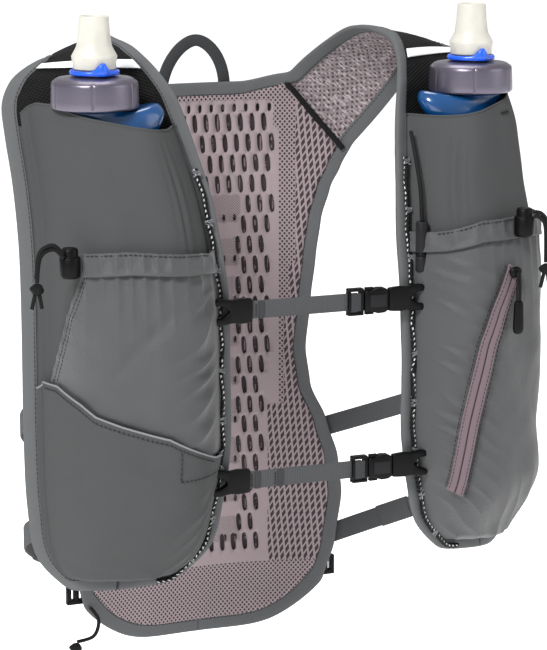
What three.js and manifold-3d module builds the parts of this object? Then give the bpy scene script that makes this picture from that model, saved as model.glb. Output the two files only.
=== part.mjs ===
// Running hydration vest, worn shape, with its two soft flasks.
// Millimetres, x to the wearer's left, y to the back, z up, origin between the shoulders.
import * as THREE from 'three';
import { mergeVertices } from 'three/addons/utils/BufferGeometryUtils.js';
import Module from 'manifold-3d';

const wasm = await Module();
wasm.setup();

// Main sizes
const HALF_WIDTH = 150;
const HALF_DEPTH = 100;
const HEIGHT = 400;
const BODY_CENTRE_Y = -10;
const BACK_BULGE = 98;
const BINDING_WIDTH = 9;
const BINDING_THICK = 3.6;
const GAP = 0.4;
const CLOTH = 1.0;
const PANEL_CLOTH = 1.2;
const PANEL_CROWN = 8;
const STRAP_CROWN = 3;
const MESH_THICK = 2.2;
const SHELL_THICK = 1.0;

// Flask sizes
const FLASK_WIDTH_SHARE = 0.2133;
const FLASK_HALF_WIDTH = HALF_WIDTH * FLASK_WIDTH_SHARE;
const FLASK_HALF_DEPTH = 16;
const FLASK_STAND_OFF = 3.8;
const CAP_RADIUS = 24.5;
const CAP_HEIGHT = 17;
const CAP_TOP_Z = -9;
const LOCK_RADIUS = 14.5;
const LOCK_HEIGHT = 6.5;
const VALVE_RADIUS = 9;
const VALVE_HEIGHT = 27;
const FLASK_X = HALF_WIDTH * 0.77;
const FLASK_Y = -HALF_DEPTH * 0.68;
const FLASK_SHIFT_X = 1.5;
const FLASK_TOP_Z = CAP_TOP_Z - CAP_HEIGHT - GAP;

// Strap and cord sizes
const WEB_WIDTH = 10;
const WEB_THICK = 1.4;
const SIDE_WEB_WIDTH = 12.5;
const EDGE_CORD_RADIUS = 1.4;
const THIN_CORD_RADIUS = 1.2;
const UPPER_STRAP_Z = -137;
const LOWER_STRAP_Z = -234;

const sides = [{ name: 'left', sign: 1 }, { name: 'right', sign: -1 }];
const V = (x, y, z) => new THREE.Vector3(x, y, z);
const clamp01 = (t) => Math.min(1, Math.max(0, t));
const smooth = (a, b, t) => {
  const s = clamp01((t - a) / (b - a));
  return s * s * (3 - 2 * s);
};

// Edge lines of one front half, from the bottom of the front panel, over the shoulder, to the seam at the back.
// Each value is a share of HALF_WIDTH, HALF_DEPTH or HEIGHT.
const edgeRows = [
  { innerX: 0.56, innerY: -0.97, innerZ: -0.722, outerX: 0.9, outerY: -0.64, outerZ: -0.745 },
  { innerX: 0.427, innerY: -1.05, innerZ: -0.672, outerX: 1.01, outerY: -0.56, outerZ: -0.7 },
  { innerX: 0.38, innerY: -1.07, innerZ: -0.612, outerX: 1.04, outerY: -0.54, outerZ: -0.63 },
  { innerX: 0.353, innerY: -1.08, innerZ: -0.538, outerX: 1.047, outerY: -0.53, outerZ: -0.538 },
  { innerX: 0.353, innerY: -1.08, innerZ: -0.438, outerX: 1.047, outerY: -0.53, outerZ: -0.438 },
  { innerX: 0.35, innerY: -1.05, innerZ: -0.33, outerX: 1.047, outerY: -0.53, outerZ: -0.33 },
  { innerX: 0.357, innerY: -0.98, innerZ: -0.264, outerX: 1.047, outerY: -0.5, outerZ: -0.25 },
  { innerX: 0.377, innerY: -0.9, innerZ: -0.192, outerX: 1.047, outerY: -0.41, outerZ: -0.175 },
  { innerX: 0.407, innerY: -0.79, innerZ: -0.13, outerX: 1.047, outerY: -0.28, outerZ: -0.112 },
  { innerX: 0.433, innerY: -0.71, innerZ: -0.085, outerX: 1.033, outerY: -0.16, outerZ: -0.07 },
  { innerX: 0.46, innerY: -0.64, innerZ: -0.05, outerX: 0.987, outerY: -0.1, outerZ: -0.04 },
  { innerX: 0.5, innerY: -0.5, innerZ: -0.018, outerX: 0.927, outerY: -0.06, outerZ: -0.025 },
  { innerX: 0.533, innerY: -0.3, innerZ: 0.005, outerX: 0.867, outerY: -0.01, outerZ: -0.018 },
  { innerX: 0.547, innerY: -0.1, innerZ: 0.012, outerX: 0.84, outerY: 0.06, outerZ: -0.02 },
  { innerX: 0.547, innerY: 0.12, innerZ: 0.015, outerX: 0.833, outerY: 0.18, outerZ: -0.03 },
  { innerX: 0.533, innerY: 0.36, innerZ: 0.008, outerX: 0.827, outerY: 0.32, outerZ: -0.055 },
  { innerX: 0.493, innerY: 0.54, innerZ: -0.015, outerX: 0.8, outerY: 0.46, outerZ: -0.095 },
  { innerX: 0.44, innerY: 0.7, innerZ: -0.045, outerX: 0.733, outerY: 0.57, outerZ: -0.14 },
  { innerX: 0.4, innerY: 0.78, innerZ: -0.068, outerX: 0.647, outerY: 0.66, outerZ: -0.185 },
];
const ROWS = edgeRows.length - 1;
const PANEL_TOP = 10.2 / ROWS;

// Half width of the back at each height, as shares of HALF_WIDTH and HEIGHT.
const backRows = [
  { down: 0.0, half: 0.647 },
  { down: 0.185, half: 0.647 },
  { down: 0.215, half: 0.61 },
  { down: 0.25, half: 0.57 },
  { down: 0.3, half: 0.535 },
  { down: 0.36, half: 0.515 },
  { down: 0.43, half: 0.495 },
  { down: 0.51, half: 0.475 },
  { down: 0.57, half: 0.495 },
  { down: 0.63, half: 0.56 },
  { down: 0.69, half: 0.605 },
  { down: 0.75, half: 0.62 },
  { down: 0.83, half: 0.595 },
  { down: 0.9, half: 0.545 },
  { down: 0.975, half: 0.48 },
];
const HEM_SHARE = 0.972;
const HEM_CORNER_SHARE = 0.075;
const COLLAR_SHARE = 0.08;

function lerpTable(rows, key, value, at) {
  let i = 0;
  while (i < rows.length - 2 && rows[i + 1][key] < at) i += 1;
  const a = rows[i];
  const b = rows[i + 1];
  const t = clamp01((at - a[key]) / (b[key] - a[key]));
  return a[value] + (b[value] - a[value]) * t * t * (3 - 2 * t) * 0.5 + (b[value] - a[value]) * t * 0.5;
}

// Smooth curve through the rows at share v of the way
function rowValue(v, key) {
  const s = clamp01(v) * ROWS;
  const i = Math.min(ROWS - 1, Math.floor(s));
  const t = s - i;
  const at = (k) => edgeRows[Math.min(ROWS, Math.max(0, k))][key];
  const [p0, p1, p2, p3] = [at(i - 1), at(i), at(i + 1), at(i + 2)];
  const curve = 2 * p1 + (p2 - p0) * t + (2 * p0 - 5 * p1 + 4 * p2 - p3) * t * t;
  return 0.5 * (curve + (3 * p1 - p0 - 3 * p2 + p3) * t * t * t);
}

const innerEdge = (v) => V(
  rowValue(v, 'innerX') * HALF_WIDTH, rowValue(v, 'innerY') * HALF_DEPTH, rowValue(v, 'innerZ') * HEIGHT);
const outerEdge = (v) => V(
  rowValue(v, 'outerX') * HALF_WIDTH, rowValue(v, 'outerY') * HALF_DEPTH, rowValue(v, 'outerZ') * HEIGHT);

// Direction away from the body, square to the front half at share v
function outward(v) {
  const step = 0.01;
  const across = outerEdge(v).sub(innerEdge(v));
  const along = innerEdge(v + step).add(outerEdge(v + step)).sub(innerEdge(v - step)).sub(outerEdge(v - step));
  return across.cross(along).normalize();
}

// Level direction in which the pockets stand away from the body, turned outwards from straight ahead
const POCKET_TURN = 12 * Math.PI / 180;
const levelOut = () => V(Math.sin(POCKET_TURN), -Math.cos(POCKET_TURN), 0);

// Front half of the wearer's left side: u from the centre edge to the arm edge
function front(u, v) {
  const crown = PANEL_CROWN * (1 - smooth(0.3, 0.44, v)) + STRAP_CROWN * smooth(0.55, 0.7, v);
  const a = innerEdge(v);
  const point = a.clone().add(outerEdge(v).sub(a).multiplyScalar(u));
  const bow = Math.sin(Math.PI * clamp01(u)) * crown;
  return point.add(outward(v).multiplyScalar(bow));
}

const frontWidth = (v) => innerEdge(v).distanceTo(outerEdge(v));

// Height of the top line of the back, across from the middle
function backTop(share) {
  const collar = 0.62;
  const s = Math.abs(share);
  const dip = -COLLAR_SHARE + (0.08 - 0.068) * smooth(0.3, collar, s);
  if (s < collar) return dip * HEIGHT;
  return (-0.068 + (s - collar) / (1 - collar) * (0.068 - 0.185)) * HEIGHT;
}

const backBottom = (share) => (-HEM_SHARE + HEM_CORNER_SHARE * Math.abs(share) ** 5) * HEIGHT;

// Back panel: u from -1 to 1 across, v from 0 at the collar to 1 at the hem
function back(u, v) {
  const z = backTop(u) + (backBottom(u) - backTop(u)) * v;
  const half = lerpTable(backRows, 'down', 'half', -z / HEIGHT) * HALF_WIDTH;
  const x = u * half;
  return V(x, BODY_CENTRE_Y + BACK_BULGE * Math.sqrt(1 - (x / HALF_WIDTH) ** 2), z);
}

function geometryOf(points, faces) {
  const g = new THREE.BufferGeometry();
  const array = new Float32Array(points.length * 3);
  points.forEach((p, i) => array.set([p.x, p.y, p.z], i * 3));
  g.setAttribute('position', new THREE.BufferAttribute(array, 3));
  g.setIndex(faces);
  return g;
}

// Volume inside a closed net, negative where its faces look in
function volumeOf(g) {
  const p = g.attributes.position;
  const index = g.index;
  let sum = 0;
  const [a, b, c] = [V(), V(), V()];
  for (let i = 0; i < index.count; i += 3) {
    a.fromBufferAttribute(p, index.getX(i));
    b.fromBufferAttribute(p, index.getX(i + 1));
    c.fromBufferAttribute(p, index.getX(i + 2));
    sum += a.dot(b.cross(c)) / 6;
  }
  return sum;
}

function facingOut(g) {
  if (volumeOf(g) > 0) return g;
  const index = g.index.array;
  for (let i = 0; i < index.length; i += 3) [index[i + 1], index[i + 2]] = [index[i + 2], index[i + 1]];
  return g;
}

// Closed sheet of one thickness around the grid at(u, v)
function sheet(at, nu, nv, thick) {
  const grid = [];
  for (let j = 0; j <= nv; j += 1) {
    for (let i = 0; i <= nu; i += 1) grid.push(at(i / nu, j / nv));
  }
  const id = (i, j) => j * (nu + 1) + i;
  const cell = (i, j) => grid[id(Math.min(nu, Math.max(0, i)), Math.min(nv, Math.max(0, j)))];
  const points = [];
  for (const way of [0.5, -0.5]) {
    for (let j = 0; j <= nv; j += 1) {
      for (let i = 0; i <= nu; i += 1) {
        const du = cell(i + 1, j).clone().sub(cell(i - 1, j));
        const dv = cell(i, j + 1).clone().sub(cell(i, j - 1));
        points.push(cell(i, j).clone().add(du.cross(dv).normalize().multiplyScalar(way * thick)));
      }
    }
  }
  const under = (nu + 1) * (nv + 1);
  const faces = [];
  for (let j = 0; j < nv; j += 1) {
    for (let i = 0; i < nu; i += 1) {
      const [a, b, c, d] = [id(i, j), id(i + 1, j), id(i + 1, j + 1), id(i, j + 1)];
      faces.push(a, b, c, a, c, d, a + under, c + under, b + under, a + under, d + under, c + under);
    }
  }
  const rim = [];
  for (let i = 0; i < nu; i += 1) rim.push(id(i, 0));
  for (let j = 0; j < nv; j += 1) rim.push(id(nu, j));
  for (let i = nu; i > 0; i -= 1) rim.push(id(i, nv));
  for (let j = nv; j > 0; j -= 1) rim.push(id(0, j));
  rim.forEach((a, k) => {
    const b = rim[(k + 1) % rim.length];
    faces.push(a, a + under, b + under, a, b + under, b);
  });
  return facingOut(geometryOf(points, faces));
}

// Closed skin over rings of equal length, with flat ends
function loft(rings) {
  const n = rings[0].length;
  const points = rings.flat();
  const faces = [];
  for (let j = 0; j < rings.length - 1; j += 1) {
    for (let i = 0; i < n; i += 1) {
      const [a, b] = [j * n + i, j * n + (i + 1) % n];
      faces.push(a, b, b + n, a, b + n, a + n);
    }
  }
  const last = (rings.length - 1) * n;
  for (let i = 1; i < n - 1; i += 1) faces.push(0, i + 1, i, last, last + i, last + i + 1);
  return facingOut(geometryOf(points, faces));
}

// Flat band with softened edges: rows of { edge, inside, normal }
const bandProfile = [
  { across: 0, up: 0 },
  { across: 0.2, up: 0.5 },
  { across: 1, up: 0.5 },
  { across: 1, up: -0.5 },
  { across: 0.2, up: -0.5 },
];
function band(rows, thick, profile = bandProfile) {
  return loft(rows.map((r) => profile.map((p) => r.edge.clone().lerp(r.inside, p.across)
    .add(r.normal.clone().multiplyScalar(p.up * thick)))));
}

const flatProfile = [
  { across: 0, up: 0.5 },
  { across: 1, up: 0.5 },
  { across: 1, up: -0.5 },
  { across: 0, up: -0.5 },
];

// Webbing along a line: sideways is the direction of its width at each point
function webbing(points, sideways, width, thick) {
  const rows = points.map((p, i) => {
    const along = points[Math.min(points.length - 1, i + 1)].clone().sub(points[Math.max(0, i - 1)]).normalize();
    const side = sideways(i / (points.length - 1)).clone();
    side.addScaledVector(along, -side.dot(along)).normalize();
    const normal = side.clone().cross(along).normalize();
    return {
      edge: p.clone().addScaledVector(side, -width / 2),
      inside: p.clone().addScaledVector(side, width / 2),
      normal,
    };
  });
  return band(rows, thick, flatProfile);
}

function tidy(g) {
  g.deleteAttribute('normal');
  g.deleteAttribute('uv');
  return mergeVertices(g, 1e-4);
}

// Round cord along a line
function cord(points, radius, steps, around = 8) {
  const shape = new THREE.Shape();
  for (let i = 0; i < around; i += 1) {
    const a = i / around * Math.PI * 2;
    if (i === 0) shape.moveTo(radius * Math.cos(a), radius * Math.sin(a));
    else shape.lineTo(radius * Math.cos(a), radius * Math.sin(a));
  }
  const g = new THREE.ExtrudeGeometry(shape, {
    steps, extrudePath: new THREE.CatmullRomCurve3(points), bevelEnabled: false,
  });
  return facingOut(tidy(g));
}

// Turned shape from radius and height pairs
function turned(profile, around, x, y, z) {
  const g = new THREE.LatheGeometry(profile.map((p) => new THREE.Vector2(p.r, p.h)), around);
  g.rotateX(Math.PI / 2);
  g.translate(x, y, z);
  return facingOut(tidy(g));
}

function block(x0, x1, y0, y1, z0, z1) {
  const g = new THREE.BoxGeometry(x1 - x0, y1 - y0, z1 - z0);
  g.translate((x0 + x1) / 2, (y0 + y1) / 2, (z0 + z1) / 2);
  return tidy(g);
}

const ball = (p, rx, ry, rz) => {
  const g = new THREE.IcosahedronGeometry(1, 1);
  g.scale(rx, ry, rz);
  g.translate(p.x, p.y, p.z);
  return facingOut(tidy(g));
};

// Outline drawn in x and y, raised between two heights
function raised(outline, z0, z1) {
  const shape = new THREE.Shape(outline.map((p) => new THREE.Vector2(p[0], p[1])));
  const g = new THREE.ExtrudeGeometry(shape, { depth: z1 - z0, bevelEnabled: false });
  g.translate(0, 0, z0);
  return facingOut(tidy(g));
}

function solidOf(g) {
  const p = g.attributes.position;
  return new wasm.Manifold(new wasm.Mesh({
    numProp: 3, vertProperties: new Float32Array(p.array), triVerts: new Uint32Array(g.index.array),
  }));
}

function fromSolid(solid) {
  const mesh = solid.getMesh();
  const g = new THREE.BufferGeometry();
  g.setAttribute('position', new THREE.BufferAttribute(new Float32Array(mesh.vertProperties), 3));
  g.setIndex(Array.from(mesh.triVerts));
  return g;
}

const cut = (g, ...tools) => fromSolid(tools.reduce((s, t) => s.subtract(solidOf(t)), solidOf(g)));
const join = (...parts) => fromSolid(parts.slice(1).reduce((s, t) => s.add(solidOf(t)), solidOf(parts[0])));

function mirrored(g, sign) {
  if (sign > 0) return g;
  const m = g.clone();
  m.scale(-1, 1, 1);
  const index = m.index.array;
  for (let i = 0; i < index.length; i += 3) [index[i + 1], index[i + 2]] = [index[i + 2], index[i + 1]];
  return m;
}

const looks = {
  grey_fabric: { color: 0x5f6163, roughness: 0.8, metalness: 0 },
  grey_binding: { color: 0x6f7274, roughness: 0.85, metalness: 0 },
  stretch_mesh: { color: 0x55585a, roughness: 0.9, metalness: 0 },
  mauve_mesh: { color: 0xa8999c, roughness: 0.9, metalness: 0 },
  mauve_backing: { color: 0x6d5d61, roughness: 0.9, metalness: 0 },
  black_mesh: { color: 0x202124, roughness: 0.9, metalness: 0 },
  webbing_grey: { color: 0x66696b, roughness: 0.85, metalness: 0 },
  black_plastic: { color: 0x1c1c1e, roughness: 0.45, metalness: 0 },
  black_cord: { color: 0x1b1b1d, roughness: 0.8, metalness: 0 },
  reflective_silver: { color: 0xdfe3e4, roughness: 0.35, metalness: 0.3 },
  flask_blue: { color: 0x0d4f9f, roughness: 0.25, metalness: 0 },
  cap_grey: { color: 0x6a6570, roughness: 0.35, metalness: 0.4 },
  valve_silicone: { color: 0xe9e6dc, roughness: 0.4, metalness: 0 },
  lock_blue: { color: 0x0f6be6, roughness: 0.35, metalness: 0 },
  zip_mauve: { color: 0x8d7b80, roughness: 0.8, metalness: 0 },
};
const materials = Object.fromEntries(
  Object.entries(looks).map(([name, look]) => [name, new THREE.MeshStandardMaterial({ name, ...look })]));

const group = new THREE.Group();
group.name = 'hydration_vest';
function add(name, g, look) {
  const mesh = new THREE.Mesh(g, materials[look]);
  mesh.name = name;
  group.add(mesh);
}

// Cloth share across for a band of the given width at the edge
const edgeShare = (v, width) => width / frontWidth(v);
const CLOTH_INSET = BINDING_WIDTH + 3 * GAP;
function insideShare(u, v, inset = CLOTH_INSET) {
  const e = edgeShare(v, inset);
  return e + (1 - 2 * e) * u;
}

// Back: outer layer, and the slotted mesh against the wearer
const BACK_INSET = BINDING_WIDTH + 3 * GAP;
const SEAM_GAP = 0.6;
const backNormal = (p) => V(p.x * (BACK_BULGE / HALF_WIDTH) ** 2, p.y - BODY_CENTRE_Y, 0).normalize();
// Back point at share across and share v down, drawn in from every edge by inset
function backInset(share, v, inset) {
  const height = backTop(share) - backBottom(share);
  const end = inset / height;
  const start = end + (Math.min(inset, SEAM_GAP) / height - end) * smooth(0.7, 0.76, Math.abs(share));
  const p = back(share, start + (1 - start - end) * v);
  const x = p.x - Math.sign(share) * inset * Math.abs(share);
  return V(x, BODY_CENTRE_Y + BACK_BULGE * Math.sqrt(1 - (x / HALF_WIDTH) ** 2), p.z);
}
function backInside(u, v, lift) {
  const seat = backInset(u * 2 - 1, v, BACK_INSET);
  return seat.addScaledVector(backNormal(seat), lift);
}
const SHELL_LIFT = 1.1;
const MESH_LIFT = SHELL_LIFT - SHELL_THICK / 2 - MESH_THICK / 2 - GAP;
add('back_shell', sheet((u, v) => backInside(u, v, SHELL_LIFT), 12, 12, SHELL_THICK), 'grey_fabric');

const SLOT_WIDTH = 6;
const SLOT_HEIGHT = 16;
const SLOT_PITCH_X = 14;
const SLOT_PITCH_Z = 46;
const SLOT_COLUMNS = 5;
const SLOT_ROWS = 6;
const SLOT_TOP_Z = -62;
function slotCutter(x, z) {
  const outline = [];
  const corners = 6;
  for (let i = 0; i < corners; i += 1) {
    const a = (i + 0.5) / corners * Math.PI * 2;
    outline.push([x + SLOT_WIDTH / 2 * Math.cos(a), z + SLOT_HEIGHT / 2 * Math.sin(a)]);
  }
  const g = raised(outline, -HALF_DEPTH * 1.1, -HALF_DEPTH * 0.6);
  g.rotateX(Math.PI / 2);
  return g;
}
const slotCutters = [];
for (let row = 0; row < SLOT_ROWS * 2; row += 1) {
  const odd = row % 2;
  const count = SLOT_COLUMNS - odd;
  for (let i = 0; i < count; i += 1) {
    const x = (i - (count - 1) / 2) * SLOT_PITCH_X;
    slotCutters.push(slotCutter(x, SLOT_TOP_Z - row * SLOT_PITCH_Z / 2));
  }
}
add('back_mesh', cut(sheet((u, v) => backInside(u, v, MESH_LIFT), 12, 12, MESH_THICK), ...slotCutters),
  'mauve_mesh');

// Bindings: each row runs from the edge of the vest to the edge of the cloth
const PANEL_START = 0.043;
const BINDING_SHARE = 0.026;
const BOTTOM_SPLIT = 0.5;
const BOTTOM_STEPS = 3;
const STRAP_END = 0.99;
const EDGE_STEPS = 22;
function frontRow(u, v) {
  const share = BINDING_WIDTH / frontWidth(v);
  const inside = front(Math.min(1 - share, Math.max(share, u)), Math.max(v, BINDING_SHARE));
  return { edge: front(u, v), inside, normal: outward(Math.max(BINDING_SHARE, v)) };
}
function backRow(share, v) {
  const edge = backInset(share, v, 0);
  return { edge, inside: backInset(share, v, BINDING_WIDTH), normal: backNormal(edge) };
}
const COLLAR_STEPS = 6;
const SIDE_STEPS = 16;
const HEM_STEPS = 9;
function neckHalf() {
  const rows = [];
  for (let i = 0; i < BOTTOM_STEPS; i += 1) rows.push(frontRow(BOTTOM_SPLIT * (1 - i / BOTTOM_STEPS) - 0.01, 0));
  for (let i = 0; i <= EDGE_STEPS; i += 1) rows.push(frontRow(0, i / EDGE_STEPS * STRAP_END));
  for (let i = 0; i <= COLLAR_STEPS; i += 1) rows.push(backRow(0.6 * (1 - i / COLLAR_STEPS), 0));
  return rows;
}
const flip = (p) => V(-p.x, p.y, p.z);
const leftNeck = neckHalf();
const rightNeck = leftNeck.slice(0, -1).reverse()
  .map((r) => ({ edge: flip(r.edge), inside: flip(r.inside), normal: flip(r.normal) }));
add('neck_binding', band(leftNeck.concat(rightNeck), BINDING_THICK), 'grey_binding');

function sideHalf() {
  const rows = [];
  for (let i = 0; i < BOTTOM_STEPS; i += 1) {
    rows.push(frontRow(BOTTOM_SPLIT + 0.01 + BOTTOM_SPLIT * i / BOTTOM_STEPS, 0));
  }
  for (let i = 0; i <= EDGE_STEPS; i += 1) rows.push(frontRow(1, i / EDGE_STEPS * STRAP_END));
  const first = 0.02;
  for (let i = 0; i <= SIDE_STEPS; i += 1) rows.push(backRow(1, first + (1 - first) * i / SIDE_STEPS));
  for (let i = 1; i <= HEM_STEPS; i += 1) rows.push(backRow(Math.max(0.003, 1 - i / HEM_STEPS), 1));
  return rows;
}
const sideBinding = band(sideHalf(), BINDING_THICK);
for (const { name, sign } of sides) add(`side_binding_${name}`, mirrored(sideBinding, sign), 'grey_binding');

// Front panels against the body and the shoulder straps above them
const JOIN_SHARE = 0.004;
const panelAt = (u, v) => front(insideShare(u, v), v);
const panel = sheet((u, v) => panelAt(u, PANEL_START + (PANEL_TOP - JOIN_SHARE - PANEL_START) * v),
  6, 14, PANEL_CLOTH);
const shoulder = sheet((u, v) => panelAt(u, PANEL_TOP + (STRAP_END - PANEL_TOP) * v), 4, 12, PANEL_CLOTH * 2);
for (const { name, sign } of sides) {
  add(`front_panel_${name}`, mirrored(panel, sign), 'mauve_mesh');
  add(`shoulder_strap_${name}`, mirrored(shoulder, sign), 'black_mesh');
}

// Seam tape between shoulder strap and back, on the wearer's side
const TAPE_WIDTH = 5;
const TAPE_THICK = 0.8;
const tapeAt = (t) => {
  const p = back(0.66 + 0.28 * t, 0.02);
  return p.addScaledVector(backNormal(p), MESH_LIFT - MESH_THICK / 2 - GAP - TAPE_THICK / 2);
};
const tapePoints = [0, 0.25, 0.5, 0.75, 1].map(tapeAt);
const seamTape = webbing(tapePoints, () => V(0.6, -0.1, 0.75), TAPE_WIDTH, TAPE_THICK);
for (const { name, sign } of sides) add(`seam_tape_${name}`, mirrored(seamTape, sign), 'black_cord');

// Pockets: the first layer stands off the panel to clear the flask, and each further layer lies on the last
const zOf = (v) => (innerEdge(v).z + outerEdge(v).z) / 2;
const BULGE = 2 * FLASK_HALF_DEPTH + 2 * FLASK_STAND_OFF;
const POCKET_POWER = 4;
const LAYER_STEP = CLOTH + GAP + 0.6;
const LAYER_COUNT = 3;
const arch = (u) => 1 - Math.abs(2 * clamp01(u) - 1) ** POCKET_POWER;
const MOUTH_SWELL = 7;
const archFull = (z) => 0.2 + 0.8 * smooth(-0.74 * HEIGHT, -0.6 * HEIGHT, z);
const POCKET_INSET = BINDING_WIDTH + GAP + (LAYER_COUNT - 1) * LAYER_STEP + CLOTH + 2 * GAP;
const POCKET_SEAT = PANEL_CLOTH / 2 + GAP + CLOTH;
function pocketFace(u, v) {
  const swell = MOUTH_SWELL * smooth(-0.2 * HEIGHT, -0.1 * HEIGHT, zOf(v));
  const lift = POCKET_SEAT + (BULGE * archFull(zOf(v)) + swell) * arch(u);
  return front(insideShare(u, v, POCKET_INSET), v).addScaledVector(levelOut(), lift);
}
function pocketNormal(u, v) {
  const d = 0.01;
  const across = pocketFace(Math.min(1, u + d), v).sub(pocketFace(Math.max(0, u - d), v));
  const along = pocketFace(u, v + d).sub(pocketFace(u, v - d));
  return across.cross(along).normalize();
}
function layerAt(u, v, layer, extra = 0) {
  const lift = (layer - 1) * LAYER_STEP + extra * Math.sin(Math.PI * clamp01(u));
  return pocketFace(u, v).addScaledVector(pocketNormal(u, v), lift);
}

// Share v at a height, for a height between bottom and shoulder
function vAt(z) {
  let lo = 0;
  let hi = 0.62;
  for (let i = 0; i < 30; i += 1) {
    const mid = (lo + hi) / 2;
    if (zOf(mid) < z) lo = mid;
    else hi = mid;
  }
  return (lo + hi) / 2;
}

const MOUTH_Z = -31;
const HEM_Z = -102;
const POCKET_BOTTOM_Z = -283;
const HEM_BAND = 10;
const bottlePocket = sheet((u, v) => {
  const z = POCKET_BOTTOM_Z + (MOUTH_Z - POCKET_BOTTOM_Z) * v;
  return layerAt(u, vAt(z), 1);
}, 10, 8, CLOTH);
const CARGO_EXTRA = 2;
const cargoPocket = sheet((u, v) => {
  const z = POCKET_BOTTOM_Z + (HEM_Z - POCKET_BOTTOM_Z) * v;
  return layerAt(u, vAt(z), 2, CARGO_EXTRA);
}, 10, 7, CLOTH);
const pocketHem = sheet((u, v) => {
  const z = HEM_Z - HEM_BAND * (1 - v);
  return layerAt(u, vAt(z), 3, CARGO_EXTRA);
}, 10, 1, CLOTH);
for (const { name, sign } of sides) {
  add(`bottle_pocket_${name}`, mirrored(bottlePocket, sign), 'stretch_mesh');
  add(`cargo_pocket_${name}`, mirrored(cargoPocket, sign), 'grey_fabric');
  add(`pocket_hem_${name}`, mirrored(pocketHem, sign), 'grey_fabric');
}

// Stretch pocket over the lower right of the wearer: its top edge falls towards the centre
const STRETCH_TOP_OUTER = -182;
const STRETCH_TOP_INNER = -208;
const stretchPocket = sheet((u, v) => {
  const top = STRETCH_TOP_INNER + (STRETCH_TOP_OUTER - STRETCH_TOP_INNER) * smooth(0.35, 0.95, u);
  const z = POCKET_BOTTOM_Z + (top - POCKET_BOTTOM_Z) * v;
  return layerAt(u, vAt(z), 3, CARGO_EXTRA);
}, 10, 6, CLOTH);
add('stretch_pocket_right', mirrored(stretchPocket, -1), 'stretch_mesh');

// Reflective strip across each shoulder
const REFLECTIVE_THICK = 0.6;
const REFLECTIVE_V = 0.615;
const REFLECTIVE_SHARE = 0.011;
const reflectiveLift = PANEL_CLOTH + GAP + REFLECTIVE_THICK / 2 + 0.2;
const stripRows = [0, 0.14, 0.29, 0.43, 0.57, 0.71, 0.86, 1].map((t) => {
  const normal = outward(REFLECTIVE_V);
  const u = 0.02 + 0.96 * t;
  return {
    edge: panelAt(u, REFLECTIVE_V - REFLECTIVE_SHARE).addScaledVector(normal, reflectiveLift),
    inside: panelAt(u, REFLECTIVE_V + REFLECTIVE_SHARE).addScaledVector(normal, reflectiveLift),
    normal,
  };
});
const strip = band(stripRows, REFLECTIVE_THICK, flatProfile);
for (const { name, sign } of sides) add(`reflective_strip_${name}`, mirrored(strip, sign), 'reflective_silver');

// Flasks
const flaskRows = [
  { down: 0.0, wide: 0.58, deep: 1.05, swing: 0 },
  { down: 0.03, wide: 0.59, deep: 1.05, swing: 0.02 },
  { down: 0.08, wide: 0.66, deep: 0.95, swing: 0.3 },
  { down: 0.15, wide: 0.8, deep: 0.92, swing: 0.75 },
  { down: 0.25, wide: 0.98, deep: 1, swing: 1 },
  { down: 0.5, wide: 1, deep: 1, swing: 1 },
  { down: 0.75, wide: 1, deep: 1, swing: 1 },
  { down: 0.9, wide: 0.93, deep: 0.8, swing: 1 },
  { down: 1, wide: 0.8, deep: 0.3, swing: 1 },
];
const FLASK_LENGTH = 200;
function flaskSolid(x, y) {
  const around = 16;
  const rings = flaskRows.map((row) => {
    const z = FLASK_TOP_Z - row.down * FLASK_LENGTH;
    const v = vAt(z);
    const out = levelOut();
    const chord = outerEdge(v).sub(innerEdge(v)).setZ(0).normalize();
    const across = V(-out.y, out.x, 0).lerp(chord, row.swing);
    const seat = front(0.5, v).addScaledVector(out, FLASK_STAND_OFF + FLASK_HALF_DEPTH);
    const centre = V(x, y, z).lerp(V(seat.x, seat.y, z), row.swing);
    const ring = [];
    for (let i = 0; i < around; i += 1) {
      const a = i / around * Math.PI * 2;
      ring.push(centre.clone().addScaledVector(across, FLASK_HALF_WIDTH * row.wide * Math.cos(a))
        .addScaledVector(out, FLASK_HALF_DEPTH * row.deep * Math.sin(a)));
    }
    return ring;
  });
  return loft(rings);
}

const capProfile = [
  { r: 0, h: -CAP_HEIGHT },
  { r: CAP_RADIUS - 0.8, h: -CAP_HEIGHT },
  { r: CAP_RADIUS, h: -CAP_HEIGHT + 1.5 },
  { r: CAP_RADIUS - 0.6, h: -2.5 },
  { r: CAP_RADIUS - 3, h: 0 },
  { r: LOCK_RADIUS * 0.72, h: 1.2 },
  { r: 0, h: 1.2 },
];
const VALVE_BASE = 1.2 + GAP;
const valveProfile = [
  { r: 0, h: VALVE_BASE },
  { r: VALVE_RADIUS * 0.98, h: VALVE_BASE },
  { r: VALVE_RADIUS * 0.98, h: VALVE_BASE + LOCK_HEIGHT + 1 },
  { r: VALVE_RADIUS * 1.35, h: VALVE_BASE + LOCK_HEIGHT + 1.6 },
  { r: VALVE_RADIUS * 1.3, h: VALVE_BASE + LOCK_HEIGHT + 4 },
  { r: VALVE_RADIUS * 0.98, h: VALVE_BASE + LOCK_HEIGHT + 7 },
  { r: VALVE_RADIUS * 0.86, h: VALVE_BASE + VALVE_HEIGHT - 4 },
  { r: VALVE_RADIUS * 0.92, h: VALVE_BASE + VALVE_HEIGHT + 3 },
  { r: VALVE_RADIUS * 0.7, h: VALVE_BASE + VALVE_HEIGHT + 4.5 },
  { r: 0, h: VALVE_BASE + VALVE_HEIGHT + 4.5 },
];
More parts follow.
